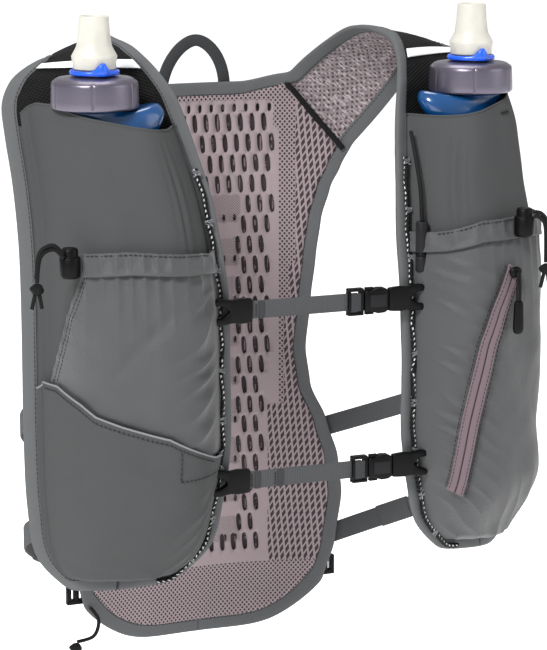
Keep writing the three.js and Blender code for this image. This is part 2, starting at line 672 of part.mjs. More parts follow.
const lockProfile = [
  { r: VALVE_RADIUS * 0.98 + GAP, h: VALVE_BASE },
  { r: LOCK_RADIUS, h: VALVE_BASE },
  { r: LOCK_RADIUS, h: VALVE_BASE + LOCK_HEIGHT * 0.6 },
  { r: LOCK_RADIUS - 2.2, h: VALVE_BASE + LOCK_HEIGHT },
  { r: VALVE_RADIUS * 0.98 + GAP, h: VALVE_BASE + LOCK_HEIGHT },
  { r: VALVE_RADIUS * 0.98 + GAP, h: VALVE_BASE },
];
for (const { name, sign } of sides) {
  const x = FLASK_X - sign * FLASK_SHIFT_X;
  add(`flask_${name}`, mirrored(flaskSolid(x, FLASK_Y), sign), 'flask_blue');
  add(`flask_cap_${name}`, turned(capProfile, 18, sign * x, FLASK_Y, CAP_TOP_Z), 'cap_grey');
  add(`mouthpiece_${name}`, turned(valveProfile, 14, sign * x, FLASK_Y, CAP_TOP_Z), 'valve_silicone');
  add(`valve_lock_${name}`, join(
    turned(lockProfile, 16, sign * x, FLASK_Y, CAP_TOP_Z),
    block(sign * x - 3.2, sign * x + 3.2, FLASK_Y - LOCK_RADIUS - 3, FLASK_Y - LOCK_RADIUS + 1.5,
      CAP_TOP_Z + VALVE_BASE, CAP_TOP_Z + VALVE_BASE + LOCK_HEIGHT)), 'lock_blue');
}

// Cord along the centre edge of each front panel
const CORD_INSET = 4.6;
const CORD_TOP_V = 0.42;
const CORD_LIFT = BINDING_THICK / 2 + GAP + EDGE_CORD_RADIUS;
function edgeCordPoint(v) {
  const share = CORD_INSET / frontWidth(v);
  return front(share, v).addScaledVector(outward(Math.max(0.03, v)), CORD_LIFT);
}
const cordPoints = [];
const CORD_SAMPLES = 16;
const CORD_FOOT_V = 0.012;
for (let i = 0; i <= CORD_SAMPLES; i += 1) {
  cordPoints.push(edgeCordPoint(CORD_FOOT_V + (CORD_TOP_V - CORD_FOOT_V) * (1 - i / CORD_SAMPLES)));
}
for (const u of [0.16, 0.3]) cordPoints.push(front(u, CORD_FOOT_V).addScaledVector(outward(BINDING_SHARE), CORD_LIFT));
const edgeCord = cord(cordPoints, EDGE_CORD_RADIUS, 26);
for (const { name, sign } of sides) add(`edge_cord_${name}`, mirrored(edgeCord, sign), 'black_cord');

// Sternum straps: hook, webbing, adjuster, buckle, hook
const HOOK_HEIGHT = 14;
const HOOK_LIP = 2.6;
const HOOK_ROOM = 1.6;
const WALL = 1.7;
function hookSolid(z, cordAt) {
  const r = EDGE_CORD_RADIUS + HOOK_ROOM;
  const face = cordAt.y + 0.2;
  const frontY = cordAt.y - r - WALL - 1.5;
  const right = cordAt.x - 17;
  const outline = [
    [cordAt.x + r + HOOK_LIP, face],
    [cordAt.x + r + HOOK_LIP, frontY + 1.4],
    [cordAt.x + r + HOOK_LIP - 1.4, frontY],
    [right, frontY],
    [right, frontY + 4.6],
    [cordAt.x - r - 3, frontY + 4.6],
    [cordAt.x - r, face],
    [cordAt.x - r, cordAt.y - r],
    [cordAt.x + r, cordAt.y - r],
    [cordAt.x + r, face],
  ];
  const body = raised(outline, z - HOOK_HEIGHT / 2, z + HOOK_HEIGHT / 2);
  const y = frontY + 2.3;
  const slot = block(right - 1, right + 6, y - WEB_THICK / 2 - GAP, y + WEB_THICK / 2 + GAP,
    z - WEB_WIDTH / 2 - GAP, z + WEB_WIDTH / 2 + GAP);
  const window = block(cordAt.x - 9, cordAt.x - 4.5, frontY - 1, frontY + 6, z - 3.6, z + 3.6);
  return { solid: cut(body, slot, window), end: right, y };
}
const SLOT_DEPTH = 5;
const LOCK_LENGTH = 9.5;
const BUCKLE_LENGTH = 15;
for (const { name, z } of [{ name: 'upper', z: UPPER_STRAP_Z }, { name: 'lower', z: LOWER_STRAP_Z }]) {
  const at = edgeCordPoint(vAt(z));
  const hook = hookSolid(z, at);
  add(`hook_${name}_left`, hook.solid, 'black_plastic');
  add(`hook_${name}_right`, mirrored(hook.solid, -1), 'black_plastic');
  const buckleRight = hook.end - GAP;
  const buckleLeft = buckleRight - BUCKLE_LENGTH;
  const lockLeft = buckleLeft - GAP - LOCK_LENGTH;
  const y = hook.y;
  const tang = block(buckleRight - 1, buckleRight + SLOT_DEPTH, y - WEB_THICK / 2, y + WEB_THICK / 2,
    z - WEB_WIDTH / 2, z + WEB_WIDTH / 2);
  const shell = join(block(buckleLeft, buckleRight, y - 3, y + 3, z - 7.4, z + 7.4), tang);
  const armWindow = (way) => block(buckleLeft + 3, buckleRight - 4, y - 4, y + 4,
    z + way * 5.6 - 1, z + way * 5.6 + 1);
  add(`buckle_${name}`, cut(shell, armWindow(1), armWindow(-1)), 'black_plastic');
  const frame = block(lockLeft, lockLeft + LOCK_LENGTH, y - 2.6, y + 2.6, z - 7.6, z + 7.6);
  const way = block(lockLeft - 1, lockLeft + LOCK_LENGTH - 3, y - WEB_THICK / 2 - GAP, y + WEB_THICK / 2 + GAP,
    z - WEB_WIDTH / 2 - GAP, z + WEB_WIDTH / 2 + GAP);
  const open = block(lockLeft + 2, lockLeft + 4.4, y - 4, y - WEB_THICK / 2, z - 5, z + 5);
  add(`ladder_lock_${name}`, cut(frame, way, open), 'black_plastic');
  const webEnd = lockLeft + LOCK_LENGTH - 3 - GAP;
  const webStart = -hook.end - SLOT_DEPTH;
  const steps = [0, 0.25, 0.5, 0.75, 1];
  const line = steps.map((t) => V(webStart + (webEnd - webStart) * t, y, z));
  add(`sternum_strap_${name}`, webbing(line, () => V(0, 0, 1), WEB_WIDTH, WEB_THICK), 'webbing_grey');
}

// Side straps from the edge of the back to the arm edge of the front panel
const sideRows = [
  { name: 'upper', backZ: -0.645, frontZ: -0.5 },
  { name: 'lower', backZ: -0.825, frontZ: -0.655 },
];
for (const row of sideRows) {
  const backHalf = lerpTable(backRows, 'down', 'half', -row.backZ) * HALF_WIDTH;
  const backY = BODY_CENTRE_Y + BACK_BULGE * Math.sqrt(1 - (backHalf / HALF_WIDTH) ** 2);
  const seat = V(backHalf - 5, backY + 2.5, row.backZ * HEIGHT);
  const start = seat.addScaledVector(backNormal(seat), BINDING_THICK / 2 + 3 * GAP + WEB_THICK);
  const v = vAt(row.frontZ * HEIGHT);
  const finish = front(1 - 5 / frontWidth(v), v).addScaledVector(outward(v), -(BINDING_THICK / 2 + 4 * GAP + WEB_THICK));
  const bend = V(HALF_WIDTH * 1.02, BODY_CENTRE_Y + 30, (row.backZ * 0.45 + row.frontZ * 0.55) * HEIGHT);
  const curve = new THREE.QuadraticBezierCurve3(start, bend, finish);
  const web = webbing(curve.getPoints(10), () => V(0, 0, 1), SIDE_WEB_WIDTH, WEB_THICK);
  for (const { name, sign } of sides) add(`side_strap_${row.name}_${name}`, mirrored(web, sign), 'webbing_grey');
}

// Ladder lock behind each lower corner of the back
const SIDE_LOCK_X = 79;
const SIDE_LOCK_Z = -351;
const SIDE_LOCK_WIDTH = 13;
const SIDE_LOCK_HEIGHT = 13;
const SIDE_LOCK_THICK = 4;
const sideLockY = BODY_CENTRE_Y + BACK_BULGE * Math.sqrt(1 - (SIDE_LOCK_X / HALF_WIDTH) ** 2) + BINDING_THICK / 2 + GAP;
const sideLock = cut(
  block(SIDE_LOCK_X, SIDE_LOCK_X + SIDE_LOCK_WIDTH, sideLockY, sideLockY + SIDE_LOCK_THICK,
    SIDE_LOCK_Z - SIDE_LOCK_HEIGHT / 2, SIDE_LOCK_Z + SIDE_LOCK_HEIGHT / 2),
  ...[0.25, 0.62].map((t) => block(
    SIDE_LOCK_X + SIDE_LOCK_WIDTH * t, SIDE_LOCK_X + SIDE_LOCK_WIDTH * (t + 0.17), sideLockY - 1,
    sideLockY + SIDE_LOCK_THICK + 1, SIDE_LOCK_Z - SIDE_LOCK_HEIGHT / 2 + 2, SIDE_LOCK_Z + SIDE_LOCK_HEIGHT / 2 - 2)));
for (const { name, sign } of sides) add(`side_lock_${name}`, mirrored(sideLock, sign), 'black_plastic');

// Haul loop behind the collar
const LOOP_HALF = 21;
const LOOP_RISE = 29;
const LOOP_WIDTH = 7.5;
const LOOP_THICK = 1.8;
const loopY = (x) => BODY_CENTRE_Y + BACK_BULGE * Math.sqrt(1 - (x / HALF_WIDTH) ** 2)
  + BINDING_THICK / 2 + GAP + LOOP_THICK / 2;
const loopPoints = [];
const LOOP_STEPS = 16;
const LOOP_FOOT_Z = -COLLAR_SHARE * HEIGHT - 7;
for (let i = 0; i <= LOOP_STEPS; i += 1) {
  const a = Math.PI * i / LOOP_STEPS;
  const x = LOOP_HALF * Math.cos(a);
  loopPoints.push(V(x, loopY(x), LOOP_FOOT_Z + (LOOP_RISE + 7) * Math.sin(a) ** 0.8));
}
const loopSide = (t) => V(Math.cos(Math.PI * t), 0, Math.sin(Math.PI * t));
add('haul_loop', webbing(loopPoints, loopSide, LOOP_WIDTH, LOOP_THICK), 'webbing_grey');

// Zip across the cargo pocket of the wearer's left
const ZIP_WIDTH = 10;
const ZIP_STEPS = 12;
const ZIP_TOP = { across: 0.54, z: -136 };
const ZIP_FOOT = { across: 0.17, z: -250 };
const ZIP_SAG_SHARE = 0.05;
const ZIP_LIFT = CLOTH / 2 + GAP + 0.9;
const zipRow = (t) => ({
  across: ZIP_TOP.across + (ZIP_FOOT.across - ZIP_TOP.across) * t - ZIP_SAG_SHARE * Math.sin(Math.PI * t),
  z: ZIP_TOP.z + (ZIP_FOOT.z - ZIP_TOP.z) * t,
});
function zipPoint(row, lift) {
  const v = vAt(row.z);
  return layerAt(row.across, v, 2, CARGO_EXTRA).addScaledVector(pocketNormal(row.across, v), lift);
}
const zipRowsOut = [];
for (let i = 0; i <= ZIP_STEPS; i += 1) {
  const row = zipRow(i / ZIP_STEPS);
  const centre = zipPoint(row, ZIP_LIFT);
  const next = zipPoint(zipRow(Math.min(1, (i + 1) / ZIP_STEPS)), ZIP_LIFT);
  const last = zipPoint(zipRow(Math.max(0, (i - 1) / ZIP_STEPS)), ZIP_LIFT);
  const normal = pocketNormal(row.across, vAt(row.z));
  const side = normal.clone().cross(next.sub(last)).normalize();
  zipRowsOut.push({
    edge: centre.clone().addScaledVector(side, -ZIP_WIDTH / 2),
    inside: centre.clone().addScaledVector(side, ZIP_WIDTH / 2),
    normal,
  });
}
add('zip_tape', band(zipRowsOut, 1, flatProfile), 'zip_mauve');
const SLIDER_THICK = 3;
const SLIDER_HALF = 3.4;
const sliderLift = ZIP_LIFT + 0.5 + GAP + SLIDER_THICK / 2;
const sliderRows = [0.005, 0.07].map((t) => {
  const row = zipRow(t);
  const normal = pocketNormal(row.across, vAt(row.z));
  const centre = zipPoint(row, sliderLift);
  const side = V(1, 0, 0).addScaledVector(normal, -normal.x).normalize();
  return {
    edge: centre.clone().addScaledVector(side, -SLIDER_HALF),
    inside: centre.clone().addScaledVector(side, SLIDER_HALF),
    normal,
  };
});
add('zip_slider', band(sliderRows, SLIDER_THICK, flatProfile), 'black_plastic');
const PULL_CORD = 16;
const PULL_CORD_HALF = 1;
const PULL_TAB = 18;
const PULL_TAB_HALF = 3.2;
const pullTop = zipPoint(zipRow(0.04), sliderLift + SLIDER_THICK / 2 + GAP + 1.1);
add('zip_pull', join(
  block(pullTop.x - PULL_CORD_HALF, pullTop.x + PULL_CORD_HALF, pullTop.y - 1, pullTop.y + 0.8,
    pullTop.z - PULL_CORD, pullTop.z + 2),
  block(pullTop.x - PULL_TAB_HALF, pullTop.x + PULL_TAB_HALF, pullTop.y - 1.8, pullTop.y + 1.2,
    pullTop.z - PULL_CORD - PULL_TAB, pullTop.z - PULL_CORD + 1)),
'black_plastic');

// Cord lock at the outer end of each cargo hem, with its drawcord and knot
const lockSpots = {
  left: { across: 0.66, drop: 1, stand: 7.9 },
  right: { across: 0.79, drop: 12, stand: 9.2 },
};
const drawcordRows = [
  { x: 0, y: 0, z: 0 },
  { x: 6, y: 2, z: -6 },
  { x: 10, y: 5, z: -16 },
  { x: 9, y: 6, z: -27 },
];
const LOCK_BARREL_RADIUS = 5.8;
const LOCK_PLUNGER_RADIUS = 4.6;
const lockBarrel = [
  { r: 0, h: -8 },
  { r: LOCK_BARREL_RADIUS - 0.8, h: -8 },
  { r: LOCK_BARREL_RADIUS, h: -6.5 },
  { r: LOCK_BARREL_RADIUS, h: 3.5 },
  { r: LOCK_PLUNGER_RADIUS, h: 4 },
  { r: LOCK_PLUNGER_RADIUS, h: 7.5 },
  { r: LOCK_PLUNGER_RADIUS - 1, h: 8.5 },
  { r: 0, h: 8.5 },
];
for (const { name, sign } of sides) {
  const v = vAt(HEM_Z + 3);
  const spot = lockSpots[name];
  const seat = layerAt(spot.across, v, 3, CARGO_EXTRA);
  const out = levelOut().clone().add(V(0.55, 0, 0)).normalize();
  const lockCentre = seat.clone().addScaledVector(out, spot.stand).add(V(0, 0, 2 - spot.drop));
  const barrel = turned(lockBarrel, 14, lockCentre.x, lockCentre.y, lockCentre.z);
  add(`cord_lock_${name}`, mirrored(barrel, sign), 'black_plastic');
  const start = lockCentre.clone().add(V(4.8 + THIN_CORD_RADIUS * 2, -2, -3));
  const route = drawcordRows.map((row) => start.clone().add(V(row.x, row.y, row.z)));
  add(`drawcord_${name}`, mirrored(cord(route, THIN_CORD_RADIUS, 12), sign), 'black_cord');
  const knot = route[3].clone().add(V(0, 0, -3.4 - GAP));
  add(`drawcord_knot_${name}`, mirrored(ball(knot, 3.8, 3, 3.4), sign), 'black_cord');
}

// Whistle hanging beside the left bottle pocket
const WHISTLE_RADIUS = 3.5;
const WHISTLE_LENGTH = 29;
const WHISTLE_TOP_Z = -94;
const besideCord = (z, dx, dy) => {
  const p = edgeCordPoint(vAt(z));
  return V(p.x + dx, p.y + dy, z);
};
const WHISTLE_CORD_LENGTH = 48;
const whistleCordRows = [
  { up: 1, x: 1.5, y: -4.5 },
  { up: 0.667, x: 3, y: -8 },
  { up: 0.333, x: 4, y: -10 },
  { up: 0, x: 4, y: -10.7 },
];
const whistleLine = whistleCordRows.map((row) => besideCord(WHISTLE_TOP_Z + WHISTLE_CORD_LENGTH * row.up, row.x, row.y));
const whistleSeat = whistleLine[whistleLine.length - 1];
add('whistle_cord', cord(whistleLine, THIN_CORD_RADIUS, 12), 'black_cord');
const whistleTube = turned([{ r: 0, h: -GAP }, { r: WHISTLE_RADIUS, h: -GAP },
  { r: WHISTLE_RADIUS, h: -WHISTLE_LENGTH }, { r: 0, h: -WHISTLE_LENGTH }],
14, whistleSeat.x, whistleSeat.y, WHISTLE_TOP_Z);
const whistleSlot = block(whistleSeat.x - 5, whistleSeat.x + 5, whistleSeat.y - 5, whistleSeat.y - 1.5,
  WHISTLE_TOP_Z - 20, WHISTLE_TOP_Z - 18);
add('whistle', cut(whistleTube, whistleSlot), 'black_plastic');

// Cord and knot hanging from the right of the hem
const hemHang = back(-0.88, 0.995);
const rearStart = hemHang.clone().addScaledVector(backNormal(hemHang), -(BINDING_THICK / 2 + THIN_CORD_RADIUS - 0.2));
const rearCordRows = [
  { x: 0, y: 0, z: 0 },
  { x: -3, y: -2, z: -12 },
  { x: -6, y: -3, z: -24 },
  { x: -9, y: -3, z: -34 },
];
const rearRoute = rearCordRows.map((row) => rearStart.clone().add(V(row.x, row.y, row.z)));
add('rear_cord', cord(rearRoute, THIN_CORD_RADIUS, 14), 'black_cord');
add('rear_knot', ball(rearRoute[3].clone().add(V(-1, 0, -3.4 - GAP)), 4, 3, 3.4), 'black_cord');

export default group;
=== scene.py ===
import math

import bpy
import numpy as np
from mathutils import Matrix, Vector
from mathutils.geometry import delaunay_2d_cdt


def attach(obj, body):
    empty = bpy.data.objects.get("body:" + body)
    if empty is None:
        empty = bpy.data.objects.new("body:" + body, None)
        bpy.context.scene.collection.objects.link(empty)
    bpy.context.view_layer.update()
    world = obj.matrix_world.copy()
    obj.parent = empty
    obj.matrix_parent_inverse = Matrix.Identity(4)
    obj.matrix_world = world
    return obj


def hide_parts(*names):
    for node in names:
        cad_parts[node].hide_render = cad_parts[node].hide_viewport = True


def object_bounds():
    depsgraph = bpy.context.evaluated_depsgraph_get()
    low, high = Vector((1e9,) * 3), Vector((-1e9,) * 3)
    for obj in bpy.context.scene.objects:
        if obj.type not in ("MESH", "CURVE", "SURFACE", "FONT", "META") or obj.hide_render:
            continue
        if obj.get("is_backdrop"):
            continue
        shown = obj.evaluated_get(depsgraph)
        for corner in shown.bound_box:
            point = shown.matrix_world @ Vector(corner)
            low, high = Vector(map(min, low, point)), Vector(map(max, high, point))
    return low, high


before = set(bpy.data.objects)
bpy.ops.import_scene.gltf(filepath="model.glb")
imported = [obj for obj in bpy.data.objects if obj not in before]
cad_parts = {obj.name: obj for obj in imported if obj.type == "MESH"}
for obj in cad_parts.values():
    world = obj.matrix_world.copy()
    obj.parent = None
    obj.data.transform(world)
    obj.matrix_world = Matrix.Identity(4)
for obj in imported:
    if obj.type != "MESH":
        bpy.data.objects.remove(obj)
lo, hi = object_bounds()
size = {"cad_low": list(lo), "cad_high": list(hi)}
MM = 0.001

# Camera, in metres
CAMERA_AT = (-0.5659, -1.4155, 0.1385)
CAMERA_AIM = (0.0175, 0.0, -0.171)
camera_data = bpy.data.cameras.new("camera")
camera_data.lens = 142.8
camera_data.sensor_width = 36
camera_data.clip_start, camera_data.clip_end = 0.05, 30
camera = bpy.data.objects.new("camera", camera_data)
bpy.context.scene.collection.objects.link(camera)
camera.location = CAMERA_AT
camera.rotation_mode = "QUATERNION"
camera.rotation_quaternion = (Vector(CAMERA_AIM) - Vector(CAMERA_AT)).to_track_quat("-Z", "Y")
bpy.context.scene.camera = camera

# Main sizes; lengths from here on are in millimetres, unless a comment says metres
HALF_WIDTH, HALF_DEPTH, HEIGHT = 150.0, 100.0, 400.0
BODY_CENTRE_Y, BACK_BULGE = -10.0, 98.0
BINDING_WIDTH, BINDING_THICK = 9.0, 3.6
GAP = 0.4
PANEL_CROWN, STRAP_CROWN = 8.0, 3.0

# Edge lines of one front half from the bottom of the front panel, over the shoulder, to the seam at the back.
# Columns: inner x, y, z and outer x, y, z, as shares of the main sizes.
EDGES = np.array([
    [0.56, -0.97, -0.733, 0.9, -0.64, -0.755],
    [0.427, -1.05, -0.68, 1.01, -0.56, -0.706],
    [0.38, -1.07, -0.612, 1.04, -0.54, -0.63],
    [0.353, -1.08, -0.538, 1.047, -0.53, -0.538],
    [0.353, -1.08, -0.438, 1.047, -0.53, -0.438],
    [0.35, -1.05, -0.33, 1.047, -0.53, -0.33],
    [0.357, -0.98, -0.264, 1.047, -0.5, -0.25],
    [0.377, -0.9, -0.192, 1.047, -0.41, -0.175],
    [0.407, -0.79, -0.13, 1.047, -0.28, -0.112],
    [0.433, -0.71, -0.085, 1.033, -0.16, -0.07],
    [0.46, -0.64, -0.05, 0.987, -0.1, -0.04],
    [0.5, -0.5, -0.018, 0.927, -0.06, -0.025],
    [0.533, -0.3, 0.005, 0.867, -0.01, -0.018],
    [0.547, -0.1, 0.012, 0.84, 0.06, -0.02],
    [0.547, 0.12, 0.015, 0.833, 0.18, -0.03],
    [0.533, 0.36, 0.008, 0.827, 0.32, -0.055],
    [0.493, 0.54, -0.015, 0.8, 0.46, -0.095],
    [0.44, 0.7, -0.045, 0.733, 0.57, -0.14],
    [0.4, 0.78, -0.068, 0.647, 0.66, -0.185],
])
ROWS = len(EDGES) - 1
SCALE = np.array([HALF_WIDTH, HALF_DEPTH, HEIGHT])

# Half width of the back: columns are share of the height down, share of the half width
BACK_ROWS = np.array([
    [0.0, 0.647], [0.185, 0.647], [0.215, 0.61], [0.25, 0.57], [0.3, 0.535], [0.36, 0.515], [0.43, 0.495],
    [0.51, 0.475], [0.57, 0.495], [0.63, 0.56], [0.69, 0.605], [0.75, 0.62], [0.83, 0.595], [0.9, 0.545],
    [0.975, 0.48],
])


def smooth(a, b, t):
    """Eased step from 0 at a to 1 at b."""
    s = np.clip((np.asarray(t, float) - a) / (b - a), 0, 1)
    return s * s * (3 - 2 * s)


def unit(a):
    return a / np.maximum(1e-9, np.linalg.norm(a, axis=-1, keepdims=True))


def spline_at(table, s):
    """Smooth curve through the rows of a table, at the row numbers s."""
    last = len(table) - 1
    i = np.minimum(last - 1, np.floor(s).astype(int))
    t = (s - i)[..., None]
    p0, p1, p2, p3 = (table[np.clip(i + k, 0, last)] for k in (-1, 0, 1, 2))
    curve = 2 * p1 + (p2 - p0) * t + (2 * p0 - 5 * p1 + 4 * p2 - p3) * t * t
    return 0.5 * (curve + (3 * p1 - p0 - 3 * p2 + p3) * t**3)


def rows_at(v):
    """Both edge lines at the share v of the way up the panel and over the shoulder."""
    return spline_at(EDGES, np.clip(np.asarray(v, float), 0, 1) * ROWS)


def sided(points, sign):
    """Points of the left side as they are, or mirrored to the right side."""
    return points * np.array([sign, 1, 1])


def resample(rows, d, at):
    """Rows known at the distances d, read off at other distances."""
    return np.stack([np.interp(at, d, rows[:, k]) for k in range(3)], 1)


def box(x0, x1, z0, z1):
    return [(x0, z0), (x1, z0), (x1, z1), (x0, z1)]


def inner(v):
    return rows_at(v)[..., :3] * SCALE


def outer(v):
    return rows_at(v)[..., 3:] * SCALE


def outward(v):
    """Direction away from the wearer."""
    across = outer(v) - inner(v)
    along = inner(v + 0.01) + outer(v + 0.01) - inner(v - 0.01) - outer(v - 0.01)
    return unit(np.cross(across, along))


def front(u, v):
    """Point of a front half, u across from the inner edge and v along, on its crowned mid surface."""
    u, v = np.broadcast_arrays(np.asarray(u, float), np.asarray(v, float))
    crown = PANEL_CROWN * (1 - smooth(0.3, 0.44, v)) + STRAP_CROWN * smooth(0.55, 0.7, v)
    a = inner(v)
    bow = np.sin(np.pi * np.clip(u, 0, 1)) * crown
    return a + (outer(v) - a) * u[..., None] + outward(v) * bow[..., None]


def front_width(v):
    return np.linalg.norm(outer(v) - inner(v), axis=-1)


def back_top(share):
    s = np.abs(share)
    dip = (-0.08 + 0.012 * smooth(0.3, 0.62, s)) * HEIGHT
    side = (-0.068 + (s - 0.62) / 0.38 * (0.068 - 0.185)) * HEIGHT
    return np.where(s < 0.62, dip, side)


def back_bottom(share):
    return (-0.972 + 0.075 * np.abs(share) ** 5) * HEIGHT


def back_half(z):
    """Half width of the back at a height."""
    d = -np.asarray(z, float) / HEIGHT
    i = np.clip(np.searchsorted(BACK_ROWS[:, 0], d) - 1, 0, len(BACK_ROWS) - 2)
    a, b = BACK_ROWS[i], BACK_ROWS[i + 1]
    t = np.clip((d - a[..., 0]) / (b[..., 0] - a[..., 0]), 0, 1)
    return (a[..., 1] + (b[..., 1] - a[..., 1]) * (t * t * (3 - 2 * t) * 0.5 + t * 0.5)) * HALF_WIDTH


def back_y(x):
    return BODY_CENTRE_Y + BACK_BULGE * np.sqrt(np.maximum(0.01, 1 - (np.asarray(x, float) / HALF_WIDTH) ** 2))


def back_normal(p):
    k = (BACK_BULGE / HALF_WIDTH) ** 2
    return unit(np.stack([p[..., 0] * k, p[..., 1] - BODY_CENTRE_Y, p[..., 0] * 0], -1))


def back_inset(share, v, inset):
    """Point of the back, share across and v down, with all its edges drawn in by inset."""
    share, v = np.broadcast_arrays(np.asarray(share, float), np.asarray(v, float))
    height = back_top(share) - back_bottom(share)
    end = inset / height
    start = end - end * smooth(0.605, 0.66, np.abs(share))
    z = back_top(share) + (back_bottom(share) - back_top(share)) * (start + (1 - start - end) * v)
    x = share * back_half(z) - np.sign(share) * inset * np.abs(share)
    return np.stack([x, back_y(x), z], -1)


CLOTH_INSET = BINDING_WIDTH - 0.8
POCKET_INSET = 15.2
POCKET_TURN = math.radians(12)
LEVEL_OUT = np.array([math.sin(POCKET_TURN), -math.cos(POCKET_TURN), 0.0])
BULGE = 39.6
LAYER_STEP = 2.0
MOUTH_Z, HEM_Z, BOTTOM_Z = -31.0, -102.0, -283.0


def inside_share(u, v, inset=CLOTH_INSET):
    """Share across between the two edges that are drawn in by inset."""
    e = inset / front_width(v)
    return e + (1 - 2 * e) * u


def panel_at(u, v):
    return front(inside_share(u, v), v)


def z_of(v):
    """Height of the middle of the panel."""
    return (inner(v)[..., 2] + outer(v)[..., 2]) / 2


V_TABLE = np.linspace(0, 0.62, 2400)
Z_TABLE = z_of(V_TABLE)


def v_at(z):
    return np.interp(z, Z_TABLE, V_TABLE)


def arch(u):
    """Section of a filled pocket, 1 in the middle and 0 at its seams."""
    u = np.asarray(u, float)
    side = np.where(u > 0.5, (u - 0.5) / 0.5, (u - 0.5) / 0.575)
    return 1 - np.abs(np.clip(side, -1, 1)) ** np.where(side > 0, 3.2, 4.6)


def pocket_face(u, v):
    """Outer face of the bottle pocket, on which the other pockets lie."""
    z = z_of(v)
    full = 0.2 + 0.8 * smooth(-0.74 * HEIGHT, -0.6 * HEIGHT, z)
    swell = 7 * smooth(-0.2 * HEIGHT, -0.1 * HEIGHT, z)
    lift = 2.0 + (BULGE * full + swell) * arch(u)
    return front(inside_share(u, v, POCKET_INSET), v) + LEVEL_OUT * lift[..., None]


def pocket_normal(u, v):
    d = 0.01
    across = pocket_face(u + d, v) - pocket_face(u - d, v)
    along = pocket_face(u, v + d) - pocket_face(u, v - d)
    return unit(np.cross(across, along))


def layer_at(u, z, layer, extra=0.0, lift=0.0):
    """Point of a pocket layer at share u across and height z, raised by lift along its normal."""
    u, z = np.broadcast_arrays(np.asarray(u, float), np.asarray(z, float))
    v = v_at(z)
    up = (layer - 1) * LAYER_STEP + extra * np.sin(np.pi * np.clip(u, 0, 1)) + lift
    return pocket_face(u, v) + pocket_normal(u, v) * np.asarray(up)[..., None]


def noise(x, y, seed):
    """Smooth noise from -1 to 1 with one step to each unit."""
    table = np.random.default_rng(seed).random((64, 64)) * 2 - 1
    xi, yi = np.floor(x).astype(int), np.floor(y).astype(int)
    fx, fy = x - xi, y - yi
    fx, fy = fx * fx * (3 - 2 * fx), fy * fy * (3 - 2 * fy)
    at = lambda a, b: table[a % 64, b % 64]
    low = at(xi, yi) * (1 - fx) + at(xi + 1, yi) * fx
    high = at(xi, yi + 1) * (1 - fx) + at(xi + 1, yi + 1) * fx
    return low * (1 - fy) + high * fy


# Materials
class Look:
    """One procedural finish, built node by node on the mesh's own UV in millimetres."""

    def __init__(self, name, colour, rough, metal=0.0):
        self.mat = bpy.data.materials.new(name)
        self.mat.use_nodes = True
        self.tree = self.mat.node_tree
        self.bsdf = self.tree.nodes["Principled BSDF"]
        self.bsdf.inputs["Base Color"].default_value = (*colour, 1)
        self.bsdf.inputs["Roughness"].default_value = rough
        self.bsdf.inputs["Metallic"].default_value = metal
        self.uv = self.tree.nodes.new("ShaderNodeUVMap").outputs[0]
        self.colour = colour
        self.height = None

    def node(self, kind, **settings):
        n = self.tree.nodes.new(kind)
        for key, value in settings.items():
            setattr(n, key, value)
        return n

    def put(self, socket, value):
        if isinstance(value, bpy.types.NodeSocket):
            self.tree.links.new(value, socket)
        else:
            socket.default_value = value

    def set(self, name, value):
        self.bsdf.inputs[name].default_value = value

    def times(self, a, b):
        return self.maths("MULTIPLY", a, b)

    def to_share(self, value):
        """From -1 to 1 into 0 to 1."""
        return self.maths("MULTIPLY_ADD", value, 0.5, 0.5)

    def tinted(self, k):
        return scaled(self.colour, k)

    def maths(self, op, a, b=0.0, c=0.0):
        n = self.node("ShaderNodeMath", operation=op)
        for socket, value in zip(n.inputs, (a, b, c)):
            self.put(socket, value)
        return n.outputs[0]

    def xy(self, turn=0.0, scale=(1, 1)):
        n = self.node("ShaderNodeMapping")
        self.put(n.inputs["Vector"], self.uv)
        n.inputs["Rotation"].default_value = (0, 0, turn)
        n.inputs["Scale"].default_value = (*scale, 1)
        s = self.node("ShaderNodeSeparateXYZ")
        self.put(s.inputs[0], n.outputs[0])
        return s.outputs[0], s.outputs[1]

    def noise(self, scale, detail=2.0, stretch=(1, 1)):
        m = self.node("ShaderNodeMapping")
        self.put(m.inputs["Vector"], self.uv)
        m.inputs["Scale"].default_value = (*stretch, 1)
        n = self.node("ShaderNodeTexNoise")
        self.put(n.inputs["Vector"], m.outputs[0])
        n.inputs["Scale"].default_value = scale
        n.inputs["Detail"].default_value = detail
        return n.outputs[0]

    def wave(self, value, pitch):
        return self.maths("SINE", self.times(value, 2 * math.pi / pitch))

    def band(self, value, pitch):
        """Distance from the nearest line, 0 on it and 1 half way between two lines."""
        part = self.maths("FRACT", self.times(value, 1 / pitch))
        return self.times(self.maths("ABSOLUTE", self.maths("SUBTRACT", part, 0.5)), 2)

    def mix(self, share, a, b):
        n = self.node("ShaderNodeMix", data_type="RGBA")
        self.put(n.inputs[0], share)
        for socket, value in ((n.inputs[6], a), (n.inputs[7], b)):
            self.put(socket, value if isinstance(value, bpy.types.NodeSocket) else (*value, 1))
        return n.outputs[2]

    def paint(self, socket):
        self.put(self.bsdf.inputs["Base Color"], socket)

    def bump(self, height, strength=0.3, distance=0.0004):
        n = self.node("ShaderNodeBump")
        n.inputs["Strength"].default_value = strength
        n.inputs["Distance"].default_value = distance
        self.put(n.inputs["Height"], height)
        if self.height is not None:
            self.put(n.inputs["Normal"], self.height)
        self.height = n.outputs[0]
        self.put(self.bsdf.inputs["Normal"], self.height)


def linear(hex_colour):
    parts = [int(hex_colour[i:i + 2], 16) / 255 for i in (0, 2, 4)]
    return tuple(c / 12.92 if c <= 0.04045 else ((c + 0.055) / 1.055) ** 2.4 for c in parts)


